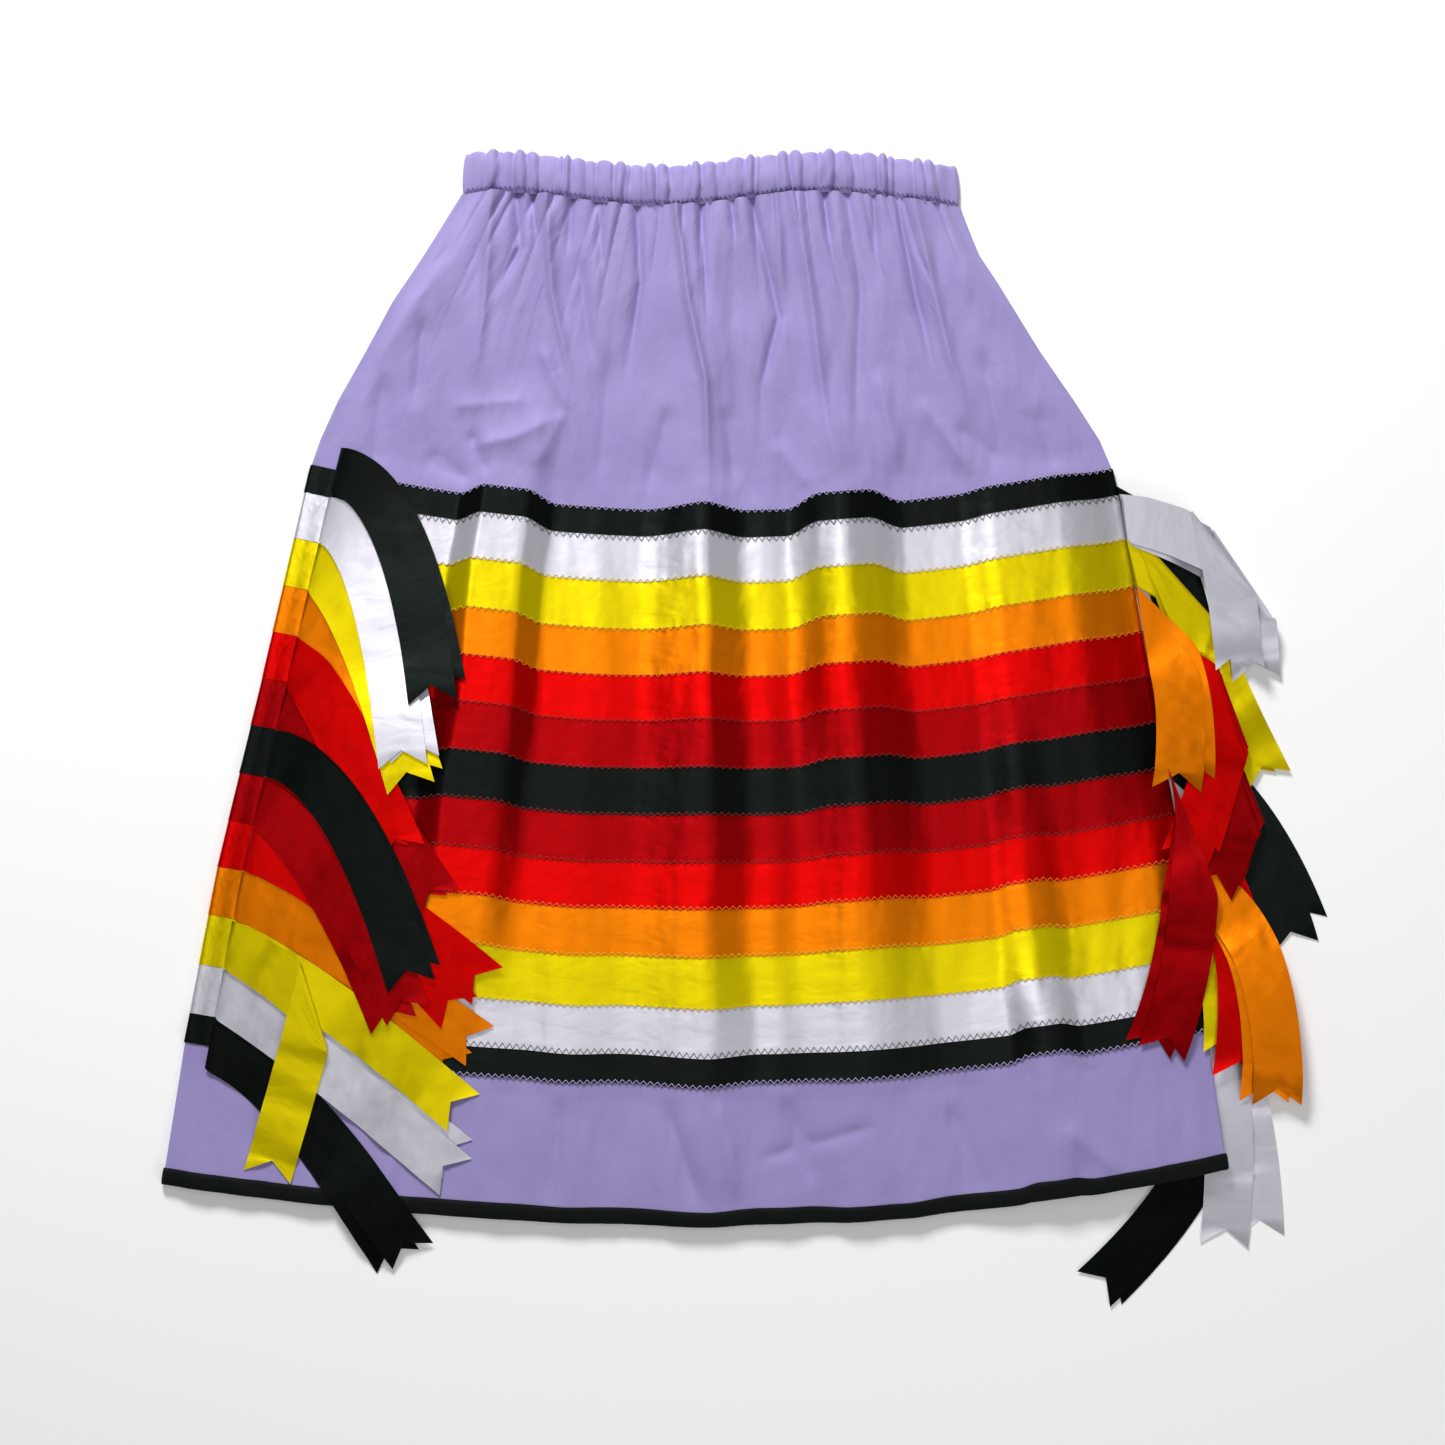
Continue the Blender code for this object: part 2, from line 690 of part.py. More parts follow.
def unit(vector):
    return vector / np.linalg.norm(vector)


def left_of(heading):
    return np.array([-heading[1], heading[0]])


def curve(start, bend, end):
    """Evenly spaced points and headings along a smooth bend."""
    t = np.linspace(0, 1, 60)[:, None]
    points = (1 - t) ** 2 * start + 2 * t * (1 - t) * bend + t**2 * end
    lengths = np.concatenate([[0], np.cumsum(np.linalg.norm(np.diff(points, axis=0), axis=1))])
    return points, lengths


def square_ruling(points, lengths, distance):
    """The line square across a tail at a distance along its curve, left end first."""
    near = [distance - 1, distance, distance + 1]
    x = np.interp(near, lengths, points[:, 0])
    y = np.interp(near, lengths, points[:, 1])
    side = left_of(unit(np.array([x[2] - x[0], y[2] - y[0]]))) * TAIL_WIDTH / 2
    centre = np.array([x[1], y[1]])
    return centre + side, centre - side


def leg(start, bend, end, first, last):
    """Square rulings along one leg of a tail, from first to last mm off its ends."""
    points, lengths = curve(start, bend, end)
    total = lengths[-1]
    count = max(int(round((total - first - last) / STATION)), 1)
    return [square_ruling(points, lengths, d) for d in np.linspace(first, total - last, count + 1)]


def turned(point, about, degrees, scale):
    angle = math.radians(degrees)
    x, y = np.array(point, float) - about
    return about + scale * np.array(
        [x * math.cos(angle) - y * math.sin(angle), x * math.sin(angle) + y * math.cos(angle)]
    )


def first_ruling(root, bend, end):
    """How far along a tail its first square ruling is clear of the seam's line."""
    centre = (root[0] + root[1]) / 2
    across = left_of(unit(root[0] - root[1]))
    across *= math.copysign(1, np.dot(across, bend - centre))
    points, lengths = curve(centre, bend, end)
    for distance in np.arange(SEAM_CLEAR, lengths[-1] * LONGEST_FIRST, SEAM_CLEAR):
        ends = square_ruling(points, lengths, distance)
        if min(np.dot(point - centre, across) for point in ends) >= SEAM_CLEAR:
            return distance
    return distance


def tail_rulings(root, fold, bend, tip):
    """Rulings of one tail from its root: (edge one, edge two, kind), kind being flat, crease or
    tip. Edge one is the left edge at the root, and stays the same edge of the ribbon."""
    centre = (root[0] + root[1]) / 2
    tip = np.array(tip, float)
    bend = np.array(bend, float)
    if fold is None:
        first = first_ruling(root, bend, tip)
        rulings = [(a, b, "flat") for a, b in leg(centre, bend, tip, first, NOTCH)]
        end = leg(centre, bend, tip, first, 0)[-1]
        return [*rulings, (*end, "tip")]
    fold = np.array(fold, float)
    middle = (centre + fold) / 2 + np.array([0.0, 4.0])
    before = unit(fold - middle)
    after = unit(bend - fold)
    crease = unit(before + after)
    outward = unit(before - np.dot(before, crease) * crease)
    slant = abs(float(np.dot(left_of(before), crease)))
    half = TAIL_WIDTH / 2 / slant
    if np.dot(left_of(before), crease) < 0:
        crease = -crease
    back = half * abs(float(np.dot(crease, before))) + 4
    ahead = half * abs(float(np.dot(crease, after))) + 4
    first = first_ruling(root, middle, fold)
    length = np.linalg.norm(fold - centre)
    rulings = []
    if length - back - first > 6:
        rulings = [(a, b, "flat") for a, b in leg(centre, middle, fold, first, back)]
    inset = 2.6 * outward
    edge = (fold + crease * half, fold - crease * half)
    rulings.append((edge[0] - inset, edge[1] - inset, "flat"))
    rulings.append((edge[0], edge[1], "crease", outward))
    rulings.append((edge[0] - inset, edge[1] - inset, "flat"))
    swap = [(b, a, "flat") for a, b in leg(fold, bend, tip, ahead, NOTCH)]
    end = leg(fold, bend, tip, ahead, 0)[-1]
    return [*rulings, *swap, (end[1], end[0], "tip")]


def settle(lines, least, patches):
    """Lowers both ends of each line, bit by bit, on to what lies under them.

    least holds the lowest height of each end, and patches the shares and needs between lines.
    Lines stay no steeper than TILT, and neighbours no steeper than STEEPEST."""
    walk = [np.linalg.norm(np.subtract(p, q), axis=1).mean() for p, q in zip(lines, lines[1:])]
    top = max(max(need.max() for _, need in patches), least.max())
    ends = np.full((len(lines), 2), top)
    for _ in range(SETTLE_ROUNDS):
        for k in range(len(lines)):
            for side in (0, 1):
                room = [ends[k, side] - least[k, side]]
                room.append(TILT * TAIL_WIDTH - ends[k, 1 - side] + ends[k, side])
                for other, corner in ((k - 1, 2 + side), (k, side)):
                    if not 0 <= other < len(patches):
                        continue
                    shares, need = patches[other]
                    spare = shares @ ends[other : other + 2].ravel() - need
                    weight = shares[:, corner]
                    reached = weight > 0.01
                    room.append((spare[reached] / weight[reached]).min())
                    beside = ends[2 * other + 1 - k, side]
                    room.append(ends[k, side] - beside + STEEPEST * walk[other])
                ends[k, side] -= SETTLE_SHARE * max(min(room), 0.0)
    return ends


def lay(rulings, pile, start, root, clear):
    """Heights of the low faces of the root and of each ruling, laid on the pile, as pairs."""
    stretches = [[]]
    for i, ruling in enumerate(rulings):
        if ruling[2] == "crease":
            stretches.append([])
        else:
            stretches[-1].append(i)
    heights = [None] * len(rulings)
    for stretch in stretches:
        from_root = stretch is stretches[0]
        lines = [rulings[i][:2] for i in stretch]
        if stretch is not stretches[-1]:
            lines[-1] = rulings[stretch[-1] + 1][:2]
        if not from_root:
            lines[0] = rulings[stretch[0] - 1][:2]
        least = np.zeros((len(lines), 2))
        if from_root:
            lines.insert(0, (root[0] + clear, root[1] + clear))
            walk = [np.linalg.norm(np.add(*line) / 2 - np.add(*lines[0]) / 2) for line in lines]
            least = np.repeat(np.maximum(start - ROOT_DROP * np.array(walk), 0.0)[:, None], 2, axis=1)
        patches = [pile.needs(*first, *second) for first, second in zip(lines, lines[1:])]
        ends = settle(lines, least, patches)
        if from_root:
            root_heights = ends[0]
            lines[0] = root
        for height, i in zip(ends[-len(stretch) :], stretch):
            heights[i] = height
        pile.add(tail_top(lines, ends, from_root))
    for i, ruling in enumerate(rulings):
        if ruling[2] == "crease":
            heights[i] = (heights[i - 1] + heights[i + 1] + RIBBON) / 2
    return root_heights, heights


def diagonal(low_a, low_b):
    """Which way a patch is split, so that it stands proud and never sags."""
    return low_a[0] + low_b[1] >= low_a[1] + low_b[0]


def patch(a, b, c, d, along):
    """Two triangles of the patch a, b (one ruling), c, d (the next)."""
    if along:
        return [(a, b, d), (a, d, c)]
    return [(a, b, c), (b, d, c)]


def second_end(root, ruling):
    """Whether the first patch of a tail is split to its ruling's second end: to the end nearer to
    the seam, or to the other one where the nearer lies well back over the seam. Both halves
    of a pair are split alike, so that they don't cross."""
    across = left_of(unit(root[0] - root[1]))
    reach = np.array([np.dot(end - root[0], across) for end in ruling[:2]])
    reach *= math.copysign(1, reach.sum())
    return bool(reach[1] < reach[0]) == bool(reach.min() > -SEAM_CLEAR)


def tail_top(rulings, heights, from_root):
    """Triangles of a laid tail's upper face, for the pile."""
    found = []
    for k in range(len(rulings) - 1):
        corners = []
        for i in (k, k + 1):
            for side in (0, 1):
                corners.append((*rulings[i][side], heights[i][side] + RIBBON))
        if from_root and k == 0:
            split = second_end(rulings[0], rulings[1])
        else:
            split = diagonal(heights[k], heights[k + 1])
        found += patch(*corners, split)
    return found


def crease_rise(body, k):
    """How far the inner line of a fold stands above its outer line, as the ribbon slopes there."""
    line, height = body[k][:2]
    slopes = []
    for ruling, low, _, _ in (body[k - 1], body[k + 1]):
        for side in (0, 1):
            walk = np.linalg.norm(ruling[side] - line[side])
            slopes.append((low[side] + RIBBON / 2 - height[side]) / walk)
    return RIBBON * float(np.mean(slopes))


def make_pair(name, root, outward, upper, lower, colour):
    """One ribbon folded in half at the seam, from the lower tip to the upper tip."""
    points = []
    sections = []

    def section(ruling, low, outer_on_top, lean, rise):
        one, two = ruling[0], ruling[1]
        if lean is None:
            outer, inner = (RIBBON, 0.0) if outer_on_top else (0.0, RIBBON)
            corners = [(*one, low[0] + outer), (*two, low[1] + outer)]
            corners += [(*two, low[1] + inner), (*one, low[0] + inner)]
        else:
            away = RIBBON * lean
            corners = [(*one, low[0]), (*two, low[1])]
            corners += [(*(two - away), low[1] + rise), (*(one - away), low[0] + rise)]
        sections.append([len(points) + i for i in range(4)])
        points.extend(corners)

    outer_on_top = False
    below = []
    for ruling, low in zip(lower[0], lower[2]):
        lean = ruling[3] if ruling[2] == "crease" else None
        below.append((ruling, low, outer_on_top, lean))
        if lean is not None:
            outer_on_top = not outer_on_top
    stations = below[::-1]
    middle = (lower[1] + upper[1] + RIBBON) / 2
    stations.append(((root[0], root[1], "crease"), middle, True, outward))
    outer_on_top = True
    for ruling, low in zip(upper[0], upper[2]):
        lean = ruling[3] if ruling[2] == "crease" else None
        stations.append((ruling, low, outer_on_top, lean))
        if lean is not None:
            outer_on_top = not outer_on_top
    body = [s for s in stations if s[0][2] != "tip"]
    at_root = len(below) - 1
    for k, (ruling, low, top, lean) in enumerate(body):
        section(ruling, low, top, lean, 0.0 if lean is None else crease_rise(body, k))
    faces = []
    for k in range(len(sections) - 1):
        a, b = sections[k], sections[k + 1]
        if k + 1 == at_root:
            split = not second_end(root, body[k][0])
        elif k == at_root:
            split = second_end(root, body[k + 1][0])
        else:
            split = diagonal(body[k][1], body[k + 1][1])
        faces += patch(a[0], a[1], b[0], b[1], split)
        faces += patch(a[3], a[2], b[3], b[2], split)
        faces += patch(a[1], a[2], b[1], b[2], True)
        faces += patch(a[3], a[0], b[3], b[0], True)
    for base, station in ((sections[0], stations[0]), (sections[-1], stations[-1])):
        ruling, low, top, _ = station
        notch = [tuple(np.mean([points[base[i]], points[base[j]]], axis=0)) for i, j in ((0, 1), (3, 2))]
        start = len(points)
        outer, inner = (RIBBON, 0.0) if top else (0.0, RIBBON)
        points.extend([(*ruling[0], low[0] + outer), (*ruling[1], low[1] + outer)])
        points.extend([(*ruling[1], low[1] + inner), (*ruling[0], low[0] + inner)])
        points.extend(notch)
        one, two, two_in, one_in, notch_out, notch_in = range(start, start + 6)
        faces += [(base[0], notch_out, one), (base[1], two, notch_out), (base[0], base[1], notch_out)]
        faces += [(base[3], one_in, notch_in), (base[2], notch_in, two_in), (base[3], notch_in, base[2])]
        faces += [(base[0], one, one_in), (base[0], one_in, base[3])]
        faces += [(base[1], two_in, two), (base[1], base[2], two_in)]
        faces += [(one, notch_out, notch_in), (one, notch_in, one_in)]
        faces += [(notch_out, two, two_in), (notch_out, two_in, notch_in)]
    new_object(name, points, faces, colour)


def root_of(side, index, bands):
    """The stretch of side seam where a ribbon's tails are caught, upper end first."""
    column = (None, 90) if side == "left" else (1.0, 15)
    if index == 0:
        share = 0.0 if side == "left" else RIGHT_TOP_ROOT
    elif index == len(RIBBONS) - 1:
        share = 1.0
    else:
        share = 0.5
    ends = [np.array(bands[i].point(column, bands[i].outer() + GAP + RIBBON)) for i in (index, index + 1)]
    centre = mix(ends[0], ends[1], share)
    along = unit((ends[0] - ends[1])[:2])
    if side == "right":
        centre[0] += GAP + 0.1
        middle = [bands[i].under + bands[i].outer() for i in (index, index + 1)]
        height = mix(*middle, share) + corner_lift(centre[0], centre[1]) - RIBBON - GAP / 2
    else:
        height = 0.0
    return (centre[:2] + along * ROOT_HALF, centre[:2] - along * ROOT_HALF), max(height, 0.0)


def make_tails(bands, skirt_top):
    """Lays every tail in the order of the stack, then makes each ribbon's pair."""
    index = {row[0]: i for i, row in enumerate(RIBBONS)}
    paths = {}
    for ribbon, bend_x, bend_y, tip_x, tip_y, fan, scale in LEFT_TAILS:
        paths["left", ribbon] = (None, (bend_x, bend_y), (tip_x, tip_y), fan, scale)
    for ribbon, fold_x, fold_y, bend_x, bend_y, tip_x, tip_y, fan, scale in RIGHT_TAILS:
        fold = (fold_x, fold_y) if fold_x else None
        paths["right", ribbon] = (fold, (bend_x, bend_y), (tip_x, tip_y), fan, scale)
    folded = {}
    for side, table in (("left", LEFT_FOLDED), ("right", RIGHT_FOLDED)):
        for ribbon, fold_x, fold_y, tip_x, tip_y in table:
            middle = ((fold_x + tip_x) / 2, (fold_y + tip_y) / 2)
            folded[side, ribbon] = ((fold_x, fold_y), middle, (tip_x, tip_y))
    pile = Pile()
    laid = {}
    skirt_laid = False
    for entry in ", ".join(STACK).split(", "):
        if entry == "skirt":
            pile.add(skirt_top)
            skirt_laid = True
            continue
        side, ribbon, half = entry.split()
        root, height = root_of(side, index[ribbon], bands)
        centre = (root[0] + root[1]) / 2
        fold, bend, tip, fan, scale = paths[side, ribbon]
        if (side, ribbon) in folded and half == ("upper" if side == "left" else "lower"):
            fold, bend, tip = folded[side, ribbon]
        elif half == "lower":
            bend = turned(bend, centre, fan, scale)
            tip = turned(tip, centre, fan, scale)
            fold = None if fold is None else turned(fold, centre, fan, scale)
        rulings = tail_rulings(root, fold, bend, tip)
        if half == "lower" and (side, ribbon) not in folded:
            rulings[0] = tail_rulings(root, *paths[side, ribbon][:3])[0]
        start = height if half == "lower" else height + RIBBON + GAP
        if not skirt_laid:
            start = 0.0
        clear = np.array([ROOT_CLEAR if side == "right" else 0.0, 0.0])
        laid[side, ribbon, half] = (rulings, *lay(rulings, pile, start, root, clear))
    for side in ("left", "right"):
        for ribbon, _, colour in RIBBONS:
            root, _ = root_of(side, index[ribbon], bands)
            outward = -left_of(unit(root[1] - root[0]))
            upper = laid[side, ribbon, "upper"]
            lower = laid[side, ribbon, "lower"]
            make_pair(f"tails_{side}_{ribbon}", root, outward, upper, lower, colour)


for old in list(bpy.data.objects):
    bpy.data.objects.remove(old, do_unlink=True)
collection = bpy.data.collections.new("ribbon_skirt")
bpy.context.scene.collection.children.link(collection)

yoke_rows, band_rows, hem_rows = make_rows()
laid_skirt = make_panels(yoke_rows, band_rows, hem_rows)
laid_skirt += make_ribbons(band_rows)
laid_skirt += make_binding(hem_rows)
make_waistband(yoke_rows)
make_tails(band_rows, laid_skirt)
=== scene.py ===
"""The look of a ribbon skirt laid flat: lavender cotton, an elastic waist, satin ribbons sewn on in
bands, and ribbon tails caught in the side seams. Lengths are millimetres until a mesh is made."""

import functools
import math

import bmesh
import bpy
import numpy as np
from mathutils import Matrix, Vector, noise


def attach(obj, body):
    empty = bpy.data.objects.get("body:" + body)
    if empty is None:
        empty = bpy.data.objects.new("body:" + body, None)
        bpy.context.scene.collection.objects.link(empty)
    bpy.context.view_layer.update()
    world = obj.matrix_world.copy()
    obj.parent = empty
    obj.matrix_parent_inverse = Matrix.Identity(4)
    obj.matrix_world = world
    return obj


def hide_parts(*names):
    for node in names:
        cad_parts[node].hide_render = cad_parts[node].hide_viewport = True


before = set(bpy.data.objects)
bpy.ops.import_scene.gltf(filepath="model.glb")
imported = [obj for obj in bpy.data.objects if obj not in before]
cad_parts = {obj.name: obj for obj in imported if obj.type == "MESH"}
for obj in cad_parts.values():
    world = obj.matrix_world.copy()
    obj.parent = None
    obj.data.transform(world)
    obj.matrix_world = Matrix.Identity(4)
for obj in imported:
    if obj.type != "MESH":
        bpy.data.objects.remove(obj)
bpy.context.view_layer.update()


# The skirt's front and back are two panels of plain-woven lavender cotton, cut square and gathered
# into the waist. They lie one on the other; the back wraps round the left fold to a side seam that
# shows on the front. Long soft folds run from the gathers down to the hem.
MM = 0.001
OUTLINE = (
    # y, left, right
    (470.0, -187.0, 197.0),
    (422.0, -220.0, 215.0),
    (384.0, -246.0, 238.0),
    (345.0, -267.0, 262.0),
    (306.0, -289.0, 289.0),
    (275.0, -303.0, 309.0),
    (251.0, -311.0, 319.0),
    (228.0, -316.0, 324.0),
    (87.0, -348.0, 348.0),
    (-61.0, -383.0, 375.0),
    (-201.0, -409.5, 394.0),
    (-307.0, -426.0, 409.5),
)
LAY = (
    # y, underside, cloth, gap between the panels, gathers, lift of the front
    (463.0, 0.6, 2.00, 0.60, 1.00, 7.0),
    (450.8, 0.0, 1.97, 0.60, 0.95, 8.0),
    (421.6, 0.0, 1.82, 0.60, 0.70, 8.0),
    (370.5, 0.0, 1.63, 0.60, 0.38, 6.5),
    (304.7, 0.0, 1.47, 0.60, 0.12, 4.5),
    (239.0, 0.0, 1.40, 0.60, 0.00, 3.0),
    (219.5, 1.3, 1.40, 0.60, 0.00, 2.5),
    (-227.1, 1.3, 1.40, 0.60, 0.00, 2.5),
    (-241.1, 0.2, 1.40, 0.60, 0.00, 3.0),
    (-280.8, 0.2, 1.40, 1.75, 0.00, 3.0),
    (-324.7, 1.3, 1.40, 2.90, 0.00, 2.0),
    (-336.7, 1.3, 1.40, 2.90, 0.00, 2.0),
)
FOLDS = (
    # u, half width left and right, height top, height hem, shift top, shift hem, from y, to y, shape,
    # shape of the shift
    (-0.51, 0.12, 0.13, 9.0, 0.5, 9.0, 0.0, 330.0, -160.0, "flat", "flat"),
    (0.00, 0.16, 0.10, 8.0, 6.0, 7.0, -6.0, 463.0, -340.0, "tent", "tent"),
    (0.333, 0.14, 0.15, 10.0, 4.5, 11.0, -4.0, 330.0, -340.0, "tent", "flat"),
    (0.76, 0.15, 0.21, 4.5, 1.0, 3.0, 0.0, 380.0, -60.0, "flat", "flat"),
    (0.675, 0.07, 0.08, 0.0, 5.5, 0.0, 6.0, 60.0, -340.0, "tent", "flat"),
    (-0.27, 0.10, 0.10, 0.6, 2.5, 0.0, -2.0, 300.0, -340.0, "round", "round"),
    (0.145, 0.05, 0.05, 0.5, 1.6, 0.0, 0.0, 300.0, -340.0, "round", "round"),
)
CREASES = (
    # width, height (a ridge above nought, a trough below it), points from its top down
    (3.5, -5.0, (-148, 466), (-145, 424), (-168, 380)),
    (4.0, 4.0, (-166, 470), (-172, 384), (-181, 310)), (3.0, -4.5, (-135, 466), (-132, 418)),
    (3.5, 4.0, (-124, 466), (-120, 390), (-100, 296)), (3.5, -5.0, (-55, 468), (-51, 397), (-63, 318)),
    (3.0, 5.0, (-24, 462), (-14, 384), (0, 320), (3, 214)), (3.5, -4.5, (-4, 468), (2, 352)),
    (3.5, -4.0, (34, 466), (57, 371), (44, 319), (41, 255)), (3.5, 3.6, (54, 466), (61, 370)),
    (4.5, 4.6, (66, 470), (80, 397), (90, 319), (102, 236)),
    (5.0, -3.6, (108, 468), (121, 390), (115, 250)), (3.5, -5.0, (147, 470), (163, 390), (182, 310)),
    (4.0, 4.2, (160, 470), (186, 351), (210, 276)), (3.5, -5.5, (184, 468), (244, 364), (286, 300)),
    (8.0, 2.6, (164, 310), (210, 244)), (8.0, -2.0, (190, 288), (238, 254)),
    (6.0, 1.6, (-204, 300), (-132, 306)), (7.0, 2.6, (-190, 268), (-150, 276), (-106, 296)),
    (6.0, -1.8, (-186, 284), (-168, 244)), (8.0, -2.2, (-222, 266), (-178, 238)),
    (7.0, 2.2, (-108, 300), (-134, 250)), (6.0, 2.4, (-130, 352), (-116, 318), (-102, 286)),
    (4.5, -4.6, (-186, 468), (-206, 420), (-240, 366)), (5.0, 3.4, (-204, 424), (-262, 326)),
    (6.0, -3.0, (-220, 376), (-228, 296)), (7.0, -2.8, (-250, 332), (-262, 240)),
    (4.0, -3.8, (-84, 466), (-80, 388)), (5.0, -2.8, (-100, 424), (-88, 326)),
    (8.0, -2.6, (-75, 348), (-84, 234)), (7.0, -2.4, (-28, 304), (-46, 232)),
    (6.0, -2.6, (14, 304), (23, 236)), (8.0, 1.8, (50, 276), (86, 232)),
    (7.0, -2.8, (214, 350), (232, 258)), (7.0, 2.8, (132, 334), (152, 246)),
    (8.0, -2.2, (254, 304), (278, 236)), (3.0, -3.6, (92, 468), (96, 420)),
    (3.0, -3.6, (18, 468), (24, 424)), (3.0, -3.6, (-104, 468), (-108, 414)),
    (3.0, -3.4, (130, 468), (134, 414)), (7.0, -3.0, (-34, -236), (-4, -330)),
    (8.0, 2.6, (8, -232), (28, -326)), (9.0, -2.6, (-112, -232), (-122, -330)),
    (7.0, -2.4, (58, -232), (86, -312)), (8.0, -2.8, (188, -240), (216, -322)),
    (8.0, 2.4, (-236, -240), (-252, -322)), (5.0, -1.8, (140, -258), (30, -290)),
    (8.0, 2.4, (276, -256), (332, -304)), (7.0, -2.4, (-328, -240), (-352, -324)),
)  # fmt: skip
WAIST_Y, BANDS_TOP_Y, HEM_Y = 463.0, 219.5, -336.7
RIBBON_OUT = 1.3
CORNER_LIFT = 7.0
FRONT_GATHERS, BACK_GATHERS = 27, 18


def ease(value):
    value = min(max(value, 0.0), 1.0)
    return value * value * (3 - 2 * value)


def mix(a, b, share):
    return a + (b - a) * share


def wander(x, y, seed=0.0):
    """Soft uneven values from -1 to 1."""
    return noise.noise(Vector((x, y, seed)))


def gather_lines(count, seed, uneven=1.0):
    waves = [0.32 * math.sin(2.3 * i + seed) + 0.2 * math.sin(5.1 * i + 1) for i in range(count)]
    widths = [1 + uneven * wave for wave in waves]
    edges = np.concatenate([[0.0], np.cumsum(widths)])
    return -1 + 2 * edges / edges[-1]


FRONT_LINES, BACK_LINES = gather_lines(FRONT_GATHERS, 0.4), gather_lines(BACK_GATHERS, 1.9)


def gather(lines, u, amount):
    """Puffs between narrow creases. Some creases die out soon and others run on down the cloth."""
    i = min(max(int(np.searchsorted(lines, u, side="right")) - 1, 0), len(lines) - 2)
    share = (u - lines[i]) / (lines[i + 1] - lines[i])
    size = 0.72 + 0.28 * math.sin(1.7 * i + 0.6)
    near = i if share < 0.5 else i + 1
    reach = 0.62 + 0.38 * math.sin(2.9 * near + 0.5)
    depth = min(max(amount * 1.5 - (1 - reach) * 0.9, 0.0), 1.0)
    return size * mix(amount * 0.75, amount, depth) * (1 - depth * abs(2 * share - 1) ** 2.6)


def fold_shape(kind, distance):
    distance = abs(distance)
    if distance >= 1:
        return 0.0
    if kind == "tent":
        top = 0.12
        if distance < top:
            distance = top / 2 + distance * distance / (2 * top)
        return 0.55 * (1 - distance) ** 1.3 + 0.45 * (0.5 + 0.5 * math.cos(math.pi * distance))
    if kind == "flat":
        return ease((1 - distance) / 0.6)
    return 0.5 + 0.5 * math.cos(math.pi * distance)


def folds_at(u, y):
    """Height of the lengthwise folds, and how far they shift a row up the skirt."""
    down = min(max((BANDS_TOP_Y - y) / (BANDS_TOP_Y - HEM_Y), 0.0), 1.0)
    height = shift = 0.0
    for place, left, right, high, high_hem, move, move_hem, start, end, kind, shift_kind in FOLDS:
        place += 0.014 * wander(y / 75, place, 5.0)
        off = (u - place) / (left if u < place else right)
        if abs(off) < 1:
            share = ease((start - y) / 90 + 0.05) * ease((y - end) / 80 + 0.35)
            height += fold_shape(kind, off) * share * mix(high, high_hem, down)
            shift += fold_shape(shift_kind, off) * share * mix(move, move_hem, down)
    return height, shift


def crease_map(cell):
    """Heights of the single creases on a grid: narrow lines with a sharp top that die out at the ends."""
    x, y = np.meshgrid(np.arange(-440, 441, cell), np.arange(-350, 480, cell), indexing="ij")
    total = np.zeros_like(x)
    for width, height, *points in CREASES:
        nearest, along, length = np.full_like(x, 1e6), np.zeros_like(x), 0.0
        for (x0, y0), (x1, y1) in zip(points, points[1:]):
            dx, dy = x1 - x0, y1 - y0
            t = np.clip(((x - x0) * dx + (y - y0) * dy) / (dx * dx + dy * dy), 0, 1)
            off = np.hypot(x - x0 - t * dx, y - y0 - t * dy)
            closer = off < nearest
            nearest[closer] = off[closer]
            along[closer] = length + t[closer] * math.hypot(dx, dy)
            length += math.hypot(dx, dy)
        fade = np.clip(along / (0.25 * length), 0, 1) * np.clip((length - along) / (0.3 * length), 0, 1)
        if max(point[1] for point in points) > 460:
            fade = np.clip((length - along) / (0.5 * length), 0, 1)
        total += height * np.exp(-((nearest / width) ** 1.5)) * fade * fade * (3 - 2 * fade)
    return total


CREASE_CELL = 1.25
CREASE_MAP = crease_map(CREASE_CELL)


def creases_at(x, y):
    i, j = (x + 440) / CREASE_CELL, (y + 350) / CREASE_CELL
    i, j = min(max(i, 0.0), CREASE_MAP.shape[0] - 2.0), min(max(j, 0.0), CREASE_MAP.shape[1] - 2.0)
    k, m = int(i), int(j)
    lower = mix(CREASE_MAP[k, m], CREASE_MAP[k + 1, m], i - k)
    return mix(lower, mix(CREASE_MAP[k, m + 1], CREASE_MAP[k + 1, m + 1], i - k), j - m)


def corner_lift(x, y):
    """The right corner of the hem lies on two pairs of ribbon tails."""
    return CORNER_LIFT * ease((x - 190) / 100) * ease((-105 - y) / 75)


@functools.lru_cache(None)
def row_at(y):
    """The facts of one row across the skirt: (middle z, outer radius, gathers, lift, left, right,
    seam, sag left, sag right, wave)."""
    heights, *facts = np.array(LAY)[::-1].T
    under, cloth, gap, gathers, lift = [float(np.interp(y, heights, fact)) for fact in facts]
    down = min(max((BANDS_TOP_Y - y) / (BANDS_TOP_Y - HEM_Y), 0.0), 1.0)
    share = min(max((WAIST_Y - y) / (WAIST_Y - BANDS_TOP_Y), 0.0), 1.0)
    sags = share * mix(35.9, 31.2, down), share * mix(32.8, 43.7, down)
    heights, lefts, rights = np.array(OUTLINE)[::-1].T
    widest = gap / 2 + cloth + RIBBON_OUT
    left = float(np.interp(y + sags[0], heights, lefts)) + widest
    right = float(np.interp(y + sags[1], heights, rights)) - widest
    seam = left - widest + 21.0
    wave = ease(1 - (WAIST_Y - y) / 90)
    return under + cloth + gap / 2, gap / 2 + cloth, gathers, lift, left, right, seam, *sags, wave


